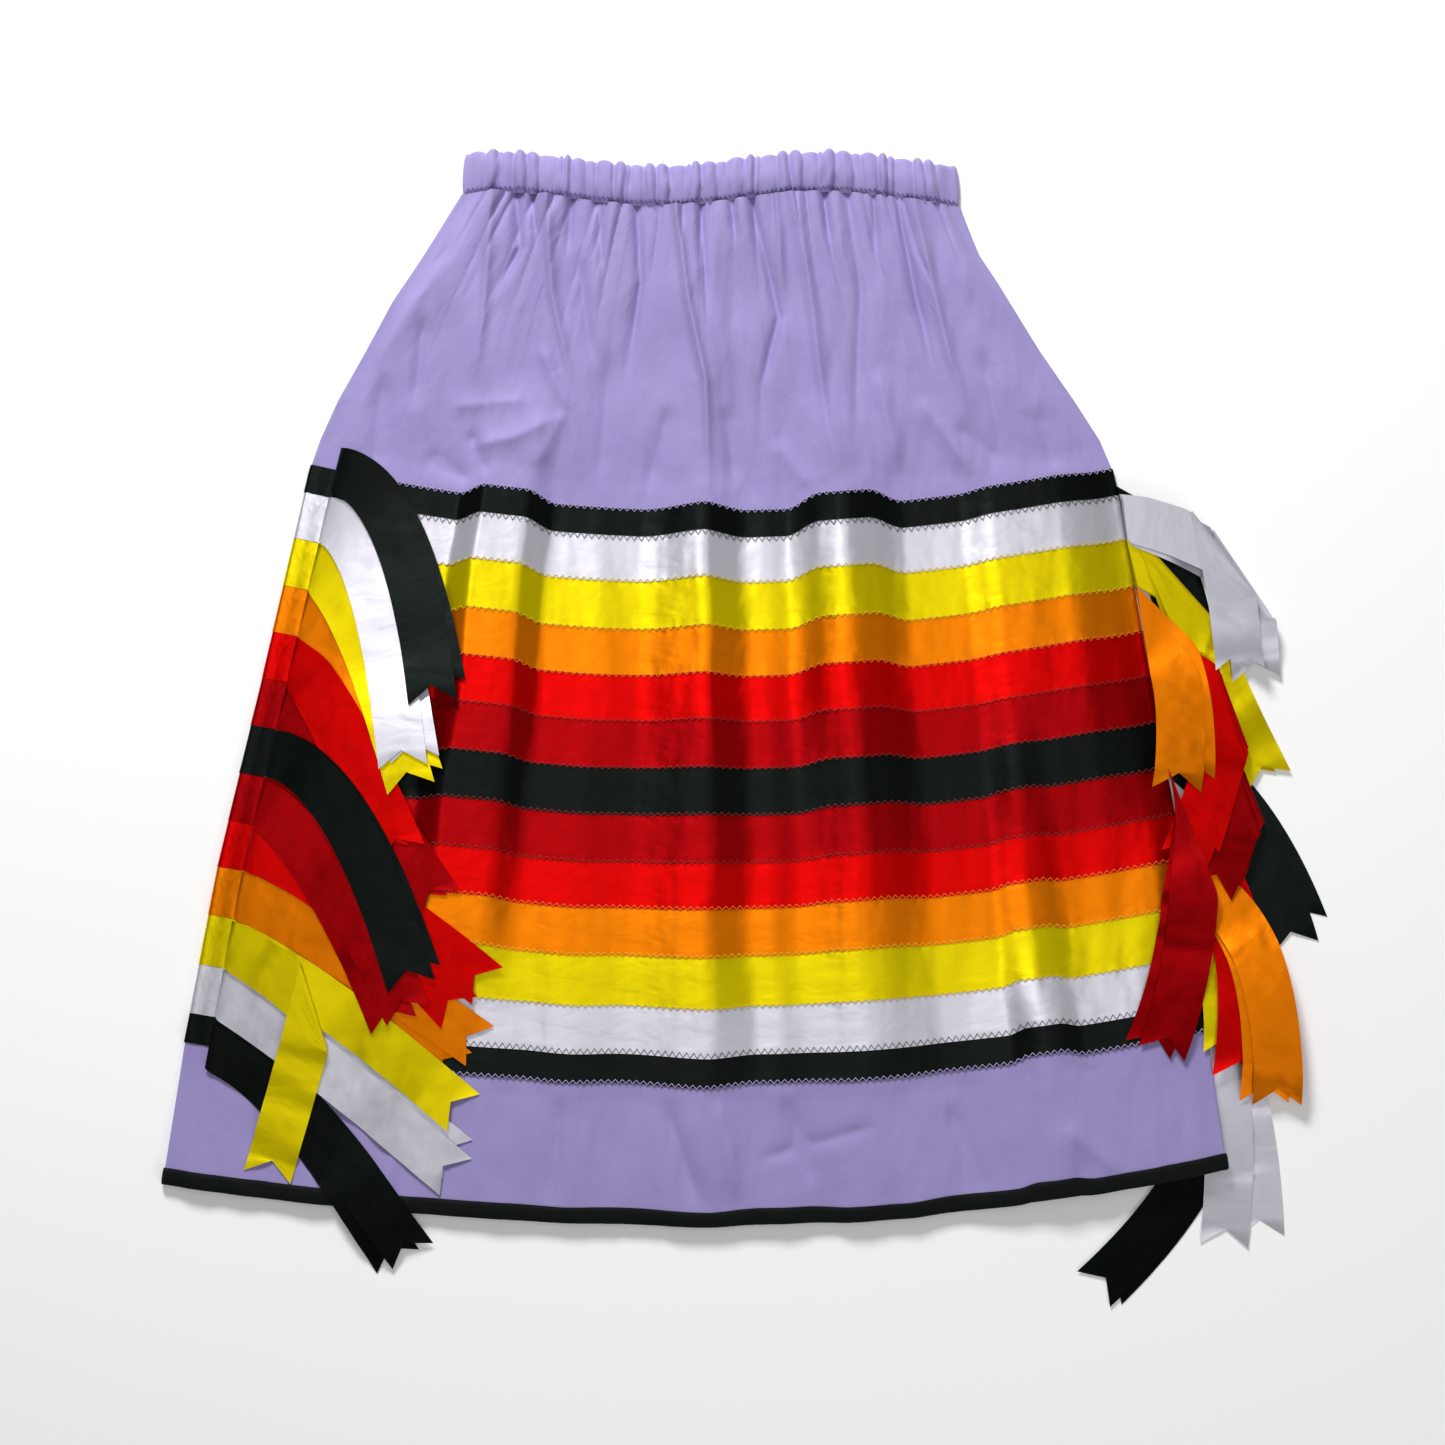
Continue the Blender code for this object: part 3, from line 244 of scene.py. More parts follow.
def on_skirt(column, y, out=0.0, row=None):
    """A point that far out from the panels' outer face. A column is (stretch, share, turn)."""
    stretch, share, turn = column
    middle, radius, gathers, lift, left, right, seam, sag_left, sag_right, wave = row or row_at(y)
    start, end = {"front": (seam, right), "back": (right, left), "wrap": (left, seam)}[stretch]
    x = mix(start, end, share)
    u = x / (right if x > 0 else -left)
    level = y
    y += (sag_right if x > 0 else sag_left) * u * u
    y += wave * 5.5 * math.cos(math.tau * (x - 90) / 255)
    edge = ease((1 - abs(u)) * (right if x > 0 else -left) / 22)
    raised = 0.0
    if turn == 90:
        height, shift = folds_at(u, level)
        y += shift * edge
        raised = lift + height + 5.5 * gather(FRONT_LINES, u, gathers) if gathers else lift + height
        if not -226 < level < 219:
            off_bands = ease((level - BANDS_TOP_Y if level > 0 else -226.0 - level) / 16)
            rumple = 2.2 * wander(x / 24, y / 60) + 0.7 * wander(x / 8, y / 34, 7.0)
            raised += off_bands * (1.45 * creases_at(x, y) + rumple)
        else:
            raised += 0.5 * wander(x / 22, y / 110, 3.0) + 0.12 * wander(x / 7, y / 26, 9.0)
        raised = max(raised, 0.0) * edge
    elif turn == 270 and gathers:
        raised = edge * 2.2 * gather(BACK_LINES, u, gathers)
    z = middle + corner_lift(x, y) + raised
    turn = math.radians(turn)
    radius += out
    return x + radius * math.cos(turn), y, z + radius * math.sin(turn)


def front_columns(count):
    """From the side seam across the front and half way round the right fold."""
    flat = [("front", float(share), 90) for share in np.linspace(0, 1, count)]
    return flat + [("front", 1.0, turn) for turn in (72, 54, 36, 18, 4)]


def back_columns(count):
    """From the right fold, under the skirt, round the left fold and on to the side seam."""
    columns = [("back", 0.0, turn) for turn in (364, 342, 324, 306, 288)]
    columns += [("back", float(share), 270) for share in np.linspace(0, 1, count)]
    columns += [("wrap", 0.0, turn) for turn in (250, 225, 200, 180, 160, 135, 110)]
    return columns + [("wrap", float(share), 90) for share in np.linspace(0, 1, 10)]


def cloth(name, columns, rows, place, width, length, material):
    """A woven sheet: a grid laid along columns and rows, with a map in metres of flat cloth."""
    bm = bmesh.new()
    across, along = len(columns) - 1, len(rows) - 1
    bmesh.ops.create_grid(bm, x_segments=across, y_segments=along, size=0.5)
    flat_map = bm.loops.layers.uv.new("cloth")
    for face in bm.faces:
        face.smooth = True
        for loop in face.loops:
            s, t = loop.vert.co.x + 0.5, loop.vert.co.y + 0.5
            loop[flat_map].uv = (s * width * MM, t * length * MM)
    for vert in bm.verts:
        i, j = round((vert.co.x + 0.5) * across), round((vert.co.y + 0.5) * along)
        vert.co = Vector(place(columns[i], rows[j])) * MM
    mesh = bpy.data.meshes.new(name)
    bm.to_mesh(mesh)
    bm.free()
    mesh.materials.append(material)
    piece = bpy.data.objects.new(name, mesh)
    bpy.context.scene.collection.objects.link(piece)
    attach(piece, "root")
    return piece


def colour(code):
    """An sRGB hex value as the linear colour that a shader takes."""
    parts = [int(code[i : i + 2], 16) / 255 for i in (1, 3, 5)]
    return (*[c / 12.92 if c <= 0.04045 else ((c + 0.055) / 1.055) ** 2.4 for c in parts], 1.0)


def add(tree, kind, links=None, **settings):
    """One node with its settings. links names its inputs by their place or name."""
    node = tree.nodes.new(kind)
    for name, value in settings.items():
        if hasattr(node, name):
            setattr(node, name, value)
        else:
            node.inputs[name.replace("_", " ")].default_value = value
    for name, source in (links or {}).items():
        tree.links.new(source, node.inputs[name])
    return node


def new_material(name):
    made = bpy.data.materials.new(name)
    made.use_nodes = True
    made.node_tree.nodes.clear()
    return made, made.node_tree


def finish_material(tree, shader):
    out = add(tree, "ShaderNodeOutputMaterial")
    tree.links.new(shader.outputs[0], out.inputs[0])


# Plain-woven cotton: matt, with a faint bloom of fibre ends. Its threads are drawn coarser than
# they are so that they show. Small soft wrinkles are left from handling.
cotton, tree = new_material("plain_woven_cotton_lavender")
where = add(tree, "ShaderNodeUVMap", uv_map="cloth")
patches = add(tree, "ShaderNodeTexNoise", {0: where.outputs[0]}, Scale=9.0, Detail=4.0)
tint = add(tree, "ShaderNodeMix", {0: patches.outputs[0]}, data_type="RGBA")
tint.inputs[6].default_value = colour("#9184BE")
tint.inputs[7].default_value = colour("#A79AD2")
warp = add(tree, "ShaderNodeTexWave", {0: where.outputs[0]}, bands_direction="X", Scale=400.0)
weft = add(tree, "ShaderNodeTexWave", {0: where.outputs[0]}, bands_direction="Y", Scale=400.0)
weave = add(tree, "ShaderNodeMath", {0: warp.outputs[1], 1: weft.outputs[1]}, operation="MULTIPLY")
fine = add(tree, "ShaderNodeBump", {"Height": weave.outputs[0]}, Strength=0.12, Distance=0.0003)
stretch = add(tree, "ShaderNodeMapping", {0: where.outputs[0]}, Scale=(38.0, 14.0, 1.0))
rumple = add(tree, "ShaderNodeTexNoise", {0: stretch.outputs[0]}, Scale=1.0, Detail=3.0, Distortion=0.6)
creased = add(tree, "ShaderNodeBump", {"Height": rumple.outputs[0], "Normal": fine.outputs[0]},
              Strength=0.35, Distance=0.004)
shader = add(tree, "ShaderNodeBsdfPrincipled", {"Base Color": tint.outputs[2], "Normal": creased.outputs[0]},
             Roughness=0.72, Sheen_Weight=0.25, Sheen_Roughness=0.5)
finish_material(tree, shader)


def spread(*stops):
    """Rows from stop to stop: each stop is (y, how many steps lead to it)."""
    rows = [stops[0][0]]
    for (start, _), (end, count) in zip(stops, stops[1:]):
        rows += [float(y) for y in np.linspace(start, end, count + 1)[1:]]
    return rows


panel_rows = spread((HEM_Y + 1.5, 0), (-227, 42), (219, 40), (462.4, 118))
front = cloth("front_panel", front_columns(390), panel_rows, on_skirt, 836, 800, cotton)
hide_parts("skirt_front")

back_rows = spread((HEM_Y + 1.5, 0), (-227, 12), (219, 26), (462.4, 70))
back = cloth("back_panel", back_columns(230), back_rows, on_skirt, 880, 800, cotton)
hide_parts("skirt_back")


# Thirteen satin ribbons run round the skirt, edge to edge, mirrored about the black one in the
# middle. Each is 38 mm single-faced satin, machine-sewn through its edges, so it takes the
# panel's folds and puckers a little at the stitching.
RIBBONS = (
    # name, height that shows, colour
    ("black_top", 20.7, "black"),
    ("white_top", 35.5, "white"),
    ("yellow_top", 36.7, "yellow"),
    ("orange_top", 35.9, "orange"),
    ("red_top", 35.9, "red"),
    ("dark_red_top", 36.3, "dark_red"),
    ("black_middle", 37.0, "black"),
    ("dark_red_low", 36.7, "dark_red"),
    ("red_low", 35.9, "red"),
    ("orange_low", 37.0, "orange"),
    ("yellow_low", 38.6, "yellow"),
    ("white_low", 37.8, "white"),
    ("black_low", 22.6, "black"),
)
SATIN = {
    # colour: sRGB in the open, metallic share, roughness
    "black": ("#111715", 0.70, 0.34),
    "white": ("#D9D7E1", 0.60, 0.34),
    "yellow": ("#E8D200", 0.70, 0.34),
    "orange": ("#F28000", 0.76, 0.34),
    "red": ("#DA0100", 0.78, 0.34),
    "dark_red": ("#A80006", 0.78, 0.34),
}


def satin(name, code, metallic, roughness):
    """Woven polyester satin. Its long floats run along the ribbon, so the gloss is narrow that
    way: the cloth is bright where it faces the light and deep in colour on each slope."""
    made, tree = new_material(name)
    where = add(tree, "ShaderNodeUVMap", uv_map="cloth")
    long_floats = add(tree, "ShaderNodeMapping", {0: where.outputs[0]}, Scale=(180.0, 2600.0, 1.0))
    threads = add(tree, "ShaderNodeTexNoise", {0: long_floats.outputs[0]}, Scale=1.0, Detail=2.0)
    soft = add(tree, "ShaderNodeMapping", {0: where.outputs[0]}, Scale=(30.0, 60.0, 1.0))
    dents = add(tree, "ShaderNodeTexNoise", {0: soft.outputs[0]}, Scale=1.0, Detail=2.0, Distortion=0.4)
    fine = add(tree, "ShaderNodeBump", {"Height": threads.outputs[0]}, Strength=0.10, Distance=0.0003)
    bent = add(tree, "ShaderNodeBump", {"Height": dents.outputs[0], "Normal": fine.outputs[0]},
               Strength=0.22, Distance=0.003)
    gloss = add(tree, "ShaderNodeMapRange", {0: threads.outputs[0]})
    gloss.inputs[3].default_value = roughness - 0.04
    gloss.inputs[4].default_value = roughness + 0.06
    along = add(tree, "ShaderNodeTangent", direction_type="UV_MAP", uv_map="cloth")
    shader = add(tree, "ShaderNodeBsdfPrincipled",
                 {"Normal": bent.outputs[0], "Roughness": gloss.outputs[0], "Tangent": along.outputs[0]},
                 Base_Color=colour(code), Metallic=metallic, Specular_IOR_Level=0.15, Anisotropic=0.8,
                 Anisotropic_Rotation=0.25)
    finish_material(tree, shader)
    return made


satins = {tone: satin(f"polyester_satin_{tone}", *facts) for tone, facts in SATIN.items()}

ribbon_ends = [BANDS_TOP_Y]
for _, height, _ in RIBBONS:
    ribbon_ends.append(ribbon_ends[-1] - height)
PUCKER, PUCKER_REACH = 0.35, 3.5
band_pieces = []
for side, columns, count in (("front", front_columns(300), 11), ("back", back_columns(150), 5)):
    for i, (name, height, tone) in enumerate(RIBBONS):
        top, low = ribbon_ends[i], ribbon_ends[i + 1]

        def on_ribbon(column, y, top=top, low=low):
            edge = min(abs(top - y), abs(y - low))
            x = on_skirt(column, y)[0]
            pucker = PUCKER * math.exp(-edge / PUCKER_REACH) * wander(x / 3.1, y / 12, top)
            return on_skirt(column, y, 0.7 + 0.4 * (top - y) / (top - low) + pucker)

        rows = [float(y) for y in np.linspace(low - 0.5, top, count)]
        piece = cloth(f"band_{side}_{name}", columns, rows, on_ribbon, 800, height, satins[tone])
        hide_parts(f"ribbon_{side}_{name}")
        band_pieces.append(piece)


# The hem is bound with a folded black cotton tape, 12 mm deep on each face, one length along the
# front and one along the back.
binding, tree = new_material("twill_tape_black")
where = add(tree, "ShaderNodeUVMap", uv_map="cloth")
ribs = add(tree, "ShaderNodeTexWave", {0: where.outputs[0]}, bands_direction="DIAGONAL", Scale=300.0)
raised = add(tree, "ShaderNodeBump", {"Height": ribs.outputs[1]}, Strength=0.3, Distance=0.0004)
fibres = add(tree, "ShaderNodeTexNoise", {0: where.outputs[0]}, Scale=60.0, Detail=3.0)
tint = add(tree, "ShaderNodeMix", {0: fibres.outputs[0]}, data_type="RGBA")
tint.inputs[6].default_value = colour("#040606")
tint.inputs[7].default_value = colour("#0C1010")
shader = add(tree, "ShaderNodeBsdfPrincipled", {"Base Color": tint.outputs[2], "Normal": raised.outputs[0]},
             Roughness=0.7, Specular_IOR_Level=0.15)
finish_material(tree, shader)

TAPE = (
    # y, out from the panel's outer face
    (-324.7, 0.0), (-325.0, 1.1), (-328.0, 1.45), (-332.0, 1.45), (-336.0, 1.25), (-337.4, 0.6),
    (-337.8, -0.4), (-337.4, -1.6), (-336.0, -2.5), (-325.0, -2.5),
)  # fmt: skip
for side, columns in (("front", front_columns(260)), ("back", back_columns(180))):
    piece = cloth(f"binding_{side}", columns, TAPE[::-1], lambda c, r: on_skirt(c, *r), 836, 26, binding)
    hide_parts(f"hem_binding_{side}")


# The waist is a 30 mm casing, turned over wide elastic and stitched along its lower edge. The
# elastic draws it into close puffs with sharp creases between them.
CASING = (
    # share of the height, out, how far the puffs stand
    (-0.05, -1.6, 0.8), (0.0, -0.3, 0.7), (0.06, 0.3, 0.85), (0.16, 0.8, 1.0), (0.3, 1.1, 1.05),
    (0.45, 1.2, 1.1), (0.6, 1.2, 1.1), (0.75, 1.0, 1.1), (0.87, 0.7, 1.1), (0.95, 0.2, 1.1), (1.0, -0.6, 1.1),
    (1.02, -1.3, 1.1), (1.0, -2.2, 1.1), (0.8, -2.4, 1.0), (0.4, -2.4, 1.0), (0.0, -2.4, 1.0),
)  # fmt: skip


CASING_LINES = gather_lines(41, 0.4, 1.5)


def on_casing(column, row):
    share, out, puff = row
    stretch, place, turn = column
    _, _, _, _, left, right, *_ = row_at(WAIST_Y)
    left, right = left + 1.0 + 2 * share, right - 1.0 - 2 * share
    lift = float(np.interp(share, (0.0, 0.45, 1.0), (7.0, 8.0, 6.5)))
    facts = (2.7, 2.7, 0.0, lift, left, right, left, 0.0, 0.0, 0.0)
    x = mix(left, right, place) if stretch == "front" else mix(right, left, place)
    u = x / (right if x > 0 else -left)
    edge = ease((1 - abs(u)) * right / 22)
    y = WAIST_Y + share * 30 + 5.5 * math.cos(math.tau * (x - 90) / 255)
    z, raised = 2.7, 0.0
    lines = CASING_LINES if turn == 90 else BACK_LINES
    if turn in (90, 270):
        slant = u + 0.010 * math.sin(23 * u) * (share - 0.3) + 0.004 * wander(share * 3, u * 12, 2.0)
        i = min(max(int(np.searchsorted(lines, slant, side="right")) - 1, 0), len(lines) - 2)
        within = (slant - lines[i]) / (lines[i + 1] - lines[i])
        size = 0.66 + 0.34 * math.sin(1.7 * i + 0.6)
        deep = 0.62 + 0.38 * math.sin(2.1 * i + 5 * share)
        puffs = size * (1 - abs(2 * within - 1) ** 2.2 * mix(deep, 1.0, abs(2 * share - 1) ** 2))
        y += share * (3.0 * puffs - 1.5) * (turn == 90)
        raised = (lift - 1.0 + 6.0 * puff * puffs) * edge if turn == 90 else edge * 2.0 * puffs
        raised += 1.1 * edge * wander(x / 7, y / 11, 4.0) * (turn == 90)
    turn = math.radians(turn)
    radius = 2.7 + out
    return x + radius * math.cos(turn), y, z + max(raised, 0.0) + radius * math.sin(turn)


casing_columns = [("front", float(s), 90) for s in np.linspace(0, 1, 330)]
casing_columns += [("front", 1.0, turn) for turn in (68, 45, 22, 0, 338, 315, 292)]
casing_columns += [("back", float(s), 270) for s in np.linspace(0, 1, 160)]
casing_columns += [("front", 0.0, turn) for turn in (248, 225, 202, 180, 158, 135, 112, 90)]
casing = cloth("waist_casing", casing_columns, CASING, on_casing, 1500, 70, cotton)
bm = bmesh.new()
bm.from_mesh(casing.data)
bmesh.ops.remove_doubles(bm, verts=bm.verts, dist=0.00002)
bm.to_mesh(casing.data)
bm.free()
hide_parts("waistband")


# Zigzag machine stitching holds every ribbon edge, and a finer line closes the waist casing. The
# thread is 0.4 mm polyester, drawn thicker so that it shows, pitched at 5.5 mm, in the colour of
# the ribbon or panel beside it.
THREADS = {
    "lavender": "#C4B8EA",
    "purple": "#6A5A9E",
    "black": "#15191C",
    "yellow": "#E9CF10",
    "orange": "#F08010",
    "red": "#8E0A08",
}
SEAMS = (
    # ribbon edge counted from the top, thread, reach up, reach down
    (0, "lavender", 0.8, 2.0),
    (1, "black", 0.2, 3.8),
    (2, "yellow", 1.6, 1.0),
    (3, "yellow", 0.6, 2.2),
    (4, "orange", 0.6, 2.2),
    (5, "red", 1.2, 1.6),
    (6, "red", 0.8, 1.8),
    (7, "red", 1.8, 0.8),
    (8, "red", 1.6, 1.2),
    (9, "orange", 2.2, 0.6),
    (10, "yellow", 2.2, 0.6),
    (11, "yellow", 0.8, 1.8),
    (12, "black", 3.8, 0.2),
    (13, "lavender", 2.0, 0.8),
)
PITCH, THREAD_RADIUS, THREAD_OUT, WAIST_POINTS = 5.5, 0.4, 1.5, 210


def stitches(name, paths, tone):
    """A thread laid along each path as a thin four-sided tube, all in one mesh."""
    line = bpy.data.curves.new(name, "CURVE")
    line.dimensions = "3D"
    line.bevel_depth = THREAD_RADIUS * MM
    line.bevel_resolution = 0
    for path in paths:
        spline = line.splines.new("POLY")
        spline.points.add(len(path) - 1)
        for point, place in zip(spline.points, path):
            point.co = (*(Vector(place) * MM), 1)
    drawn = bpy.data.objects.new(name + "_line", line)
    mesh = bpy.data.meshes.new_from_object(drawn)
    mesh.name = name
    bpy.data.objects.remove(drawn)
    made, tree = new_material(f"polyester_thread_{tone}")
    spot = add(tree, "ShaderNodeTexCoord")
    twist = add(tree, "ShaderNodeTexNoise", {0: spot.outputs["Object"]}, Scale=1500.0)
    shade = add(tree, "ShaderNodeMix", {0: twist.outputs[0]}, data_type="RGBA")
    shade.inputs[6].default_value = colour(THREADS[tone])
    shade.inputs[7].default_value = [c * 0.7 for c in colour(THREADS[tone])]
    shader = add(tree, "ShaderNodeBsdfPrincipled", {"Base Color": shade.outputs[2]}, Roughness=0.5)
    finish_material(tree, shader)
    mesh.materials.clear()
    mesh.materials.append(made)
    piece = bpy.data.objects.new(name, mesh)
    bpy.context.scene.collection.objects.link(piece)
    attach(piece, "root")
    return piece


thread_paths = {tone: [] for tone in THREADS}
for edge, tone, up, low in SEAMS:
    y = ribbon_ends[edge]
    for side in ("front", "back"):
        row = row_at(y)
        span = row[5] - (row[6] if side == "front" else row[4])
        count = int(span / PITCH) * 2
        path = []
        for k in range(count + 1):
            level = y + (up if k % 2 else -low)
            path.append(on_skirt((side, k / count, 90 if side == "front" else 270), level, THREAD_OUT))
        thread_paths[tone].append(path)
waist_path = []
for k in range(WAIST_POINTS + 1):
    waist_path.append(on_casing(("front", k / WAIST_POINTS, 90), (0.10 if k % 2 else 0.01, 1.1, 0.9)))
thread_paths["purple"].append(waist_path)
for tone, paths in thread_paths.items():
    if paths:
        stitches(f"stitching_{tone}", paths, tone)


# A pair of ribbon tails hangs from each end of every ribbon: one 38 mm ribbon folded in half and
# caught in the side seam by its fold, its two ends cut to swallowtails. The tails lie on the skirt
# and on each other as they fell.
TAIL_WIDTH, ROOT_HALF, NOTCH, STATION = 38.0, 17.6, 14.0, 9.0
RIBBON_WALL, LAID_GAP, STEEPEST, TILT = 1.0, 0.3, 0.35, 0.16
SEAM_CLEAR, LONGEST_FIRST, ROOT_DROP, ROOT_CLEAR, RIGHT_TOP_ROOT = 2.0, 0.4, 0.3, 3.5, 1.5
LEFT_TAILS = (
    # ribbon, bend x, bend y, tip x, tip y, fan degrees, fan length
    ("black_top", -232, 240, -212, 70, 3.5, 0.95),
    ("white_top", -255, 206, -235, 20, 3.0, 0.99),
    ("yellow_top", -272, 158, -229, 3, 3.0, 0.97),
    ("orange_top", -285, 119, -261, -34, 3.0, 0.96),
    ("red_top", -292, 82, -236, -48, -4.0, 0.96),
    ("dark_red_top", -293, 44, -207, -87, -3.0, 0.98),
    ("black_middle", -278, 20, -229, -151, 2.5, 0.97),
    ("dark_red_low", -292, -45, -231, -174, -4.0, 1.00),
    ("red_low", -287, -53, -170, -151, -8.0, 0.97),
    ("orange_low", -300, -110, -176, -198, -7.0, 0.98),
    ("yellow_low", -305, -148, -189, -250, 0.0, 1.00),
    ("white_low", -315, -195, -195, -300, 3.0, 0.97),
    ("black_low", -322, -218, -229, -363, -3.0, 0.98),
)
LEFT_FOLDED = (
    # ribbon, fold x, fold y, tip x, tip y
    ("yellow_low", -303, -166, -342, -300),
)
RIGHT_TAILS = (
    # ribbon, fold x, fold y, bend x, bend y, tip x, tip y, fan degrees, fan length
    ("black_top", 0, 0, 366, 205, 376, 95, 4.0, 0.96),
    ("white_top", 404, 188, 412, 140, 415, 96, 0.0, 1.00),
    ("yellow_top", 368, 168, 394, 100, 440, 8, -3.0, 0.97),
    ("orange_top", 0, 0, 378, 110, 366, 2, 5.0, 0.96),
    ("red_top", 412, 60, 395, 5, 372, -52, 4.0, 0.95),
    ("dark_red_top", 421, 8, 415, -30, 392, -76, 4.0, 0.95),
    ("black_middle", 0, 0, 425, 0, 461, -122, 5.0, 0.95),
    ("dark_red_low", 0, 0, 398, -84, 354, -203, -3.0, 0.99),
    ("red_low", 0, 0, 430, -78, 413, -223, 3.0, 0.98),
    ("orange_low", 0, 0, 445, -92, 445, -244, -2.5, 0.97),
    ("yellow_low", 0, 0, 410, -128, 406, -203, 4.0, 0.97),
    ("white_low", 0, 0, 418, -230, 405, -355, 8.0, 0.99),
    ("black_low", 0, 0, 428, -275, 303, -389, 2.0, 0.98),
)
RIGHT_FOLDED = (
    # ribbon, fold x, fold y, tip x, tip y
    ("white_top", 421, 172, 430, 88),
)
STACK = (
    "right black_low lower, right black_low upper, right white_low lower, right white_low upper",
    "skirt",
    "left black_low lower, left black_low upper, left white_low lower, left white_low upper",
    "left orange_low lower, left orange_low upper, left yellow_low lower",
    "left red_low lower, left red_low upper, left dark_red_low lower, left dark_red_low upper",
    "left dark_red_top lower, left dark_red_top upper",
    "left orange_top lower, left orange_top upper, left red_top lower, left red_top upper",
    "left yellow_top lower, left yellow_top upper, left white_top lower, left white_top upper",
    "left black_top lower, left black_top upper, left black_middle lower",
    "left black_middle upper, left yellow_low upper",
    "right black_middle lower, right black_middle upper",
    "right yellow_low lower, right yellow_low upper, right red_low lower, right red_low upper",
    "right orange_low lower, right orange_low upper, right black_top lower",
    "right black_top upper, right yellow_top lower, right yellow_top upper",
    "right dark_red_top lower, right dark_red_top upper, right red_top lower",
    "right red_top upper, right orange_top lower, right orange_top upper",
    "right white_top lower, right white_top upper",
    "right dark_red_low lower, right dark_red_low upper",
)


class Pile:
    """The height of everything laid down so far, on a grid of square cells."""

    CELL, STEP, COUNT = 1.5, 1.3, 700

    def __init__(self):
        self.height = np.zeros((self.COUNT, self.COUNT))
        self.top_piece = np.full((self.COUNT, self.COUNT), "", dtype=object)

    def cells(self, points):
        x = ((points[:, 0] + 480) / self.CELL).astype(int)
        y = ((points[:, 1] + 440) / self.CELL).astype(int)
        return np.clip(x, 1, self.COUNT - 2), np.clip(y, 1, self.COUNT - 2)

    def add(self, points, name):
        i, j = self.cells(points)
        self.top_piece[i, j] = name
        for di in (-1, 0, 1):
            for dj in (-1, 0, 1):
                np.maximum.at(self.height, (i + di, j + dj), points[:, 2])

    def shares(self, a, b, c, d):
        """Shares of a patch's corners at a spread of points over it, and the points."""
        size = max(np.abs(b - a).max(), np.abs(c - a).max(), np.abs(d - b).max(), np.abs(c - d).max())
        steps = int(size / self.STEP) + 2
        s, t = np.meshgrid(np.linspace(0, 1, steps), np.linspace(0, 1, steps))
        s, t = s.ravel(), t.ravel()
        shares = np.stack([(1 - s) * (1 - t), s * (1 - t), (1 - s) * t, s * t], axis=1)
        return shares, shares @ np.array([a, b, c, d])

    def needs(self, a, b, c, d):
        shares, points = self.shares(a, b, c, d)
        under = self.height[self.cells(points)]
        return shares, np.where(under > 0.01, under + LAID_GAP, 0.0)


def unit(vector):
    return vector / np.linalg.norm(vector)


def left_of(heading):
    return np.array([-heading[1], heading[0]])


def curve(start, bend, end):
    t = np.linspace(0, 1, 60)[:, None]
    points = (1 - t) ** 2 * start + 2 * t * (1 - t) * bend + t**2 * end
    return points, np.concatenate([[0], np.cumsum(np.linalg.norm(np.diff(points, axis=0), axis=1))])


def square_ruling(points, lengths, distance):
    near = [distance - 1, distance, distance + 1]
    x, y = np.interp(near, lengths, points[:, 0]), np.interp(near, lengths, points[:, 1])
    side = left_of(unit(np.array([x[2] - x[0], y[2] - y[0]]))) * TAIL_WIDTH / 2
    return np.array([x[1], y[1]]) + side, np.array([x[1], y[1]]) - side


def leg(start, bend, end, first, last):
    points, lengths = curve(start, bend, end)
    total = lengths[-1]
    count = max(int(round((total - first - last) / STATION)), 1)
    return [square_ruling(points, lengths, d) for d in np.linspace(first, total - last, count + 1)]


def turned(point, about, degrees, scale):
    angle = math.radians(degrees)
    x, y = np.array(point, float) - about
    turn = [x * math.cos(angle) - y * math.sin(angle), x * math.sin(angle) + y * math.cos(angle)]
    return about + scale * np.array(turn)


def first_ruling(root, bend, end):
    """How far along a tail its first square ruling is clear of the seam's line."""
    centre = (root[0] + root[1]) / 2
    across = left_of(unit(root[0] - root[1]))
    across *= math.copysign(1, np.dot(across, bend - centre))
    points, lengths = curve(centre, bend, end)
    for distance in np.arange(SEAM_CLEAR, lengths[-1] * LONGEST_FIRST, SEAM_CLEAR):
        ends = square_ruling(points, lengths, distance)
        if min(np.dot(point - centre, across) for point in ends) >= SEAM_CLEAR:
            return distance
    return distance


def tail_rulings(root, fold, bend, tip):
    """Lines across one tail from its root: (edge one, edge two, kind)."""
    centre = (root[0] + root[1]) / 2
    tip, bend = np.array(tip, float), np.array(bend, float)
    if fold is None:
        first = first_ruling(root, bend, tip)
        rulings = [(a, b, "flat") for a, b in leg(centre, bend, tip, first, NOTCH)]
        return [*rulings, (*leg(centre, bend, tip, first, 0)[-1], "tip")]
    fold = np.array(fold, float)
    middle = (centre + fold) / 2 + np.array([0.0, 4.0])
    before, after = unit(fold - middle), unit(bend - fold)
    crease = unit(before + after)
    outward = unit(before - np.dot(before, crease) * crease)
    half = TAIL_WIDTH / 2 / abs(float(np.dot(left_of(before), crease)))
    if np.dot(left_of(before), crease) < 0:
        crease = -crease
    back_off = half * abs(float(np.dot(crease, before))) + 4
    ahead = half * abs(float(np.dot(crease, after))) + 4
    first = first_ruling(root, middle, fold)
    rulings = []
    if np.linalg.norm(fold - centre) - back_off - first > 6:
        rulings = [(a, b, "flat") for a, b in leg(centre, middle, fold, first, back_off)]
    one, two, inset = fold + crease * half, fold - crease * half, 2.6 * outward
    rulings += [(one - inset, two - inset, "flat"), (one, two, "crease"), (one - inset, two - inset, "flat")]
    swap = [(b, a, "flat") for a, b in leg(fold, bend, tip, ahead, NOTCH)]
    end = leg(fold, bend, tip, ahead, 0)[-1]
    return [*rulings, *swap, (end[1], end[0], "tip")]


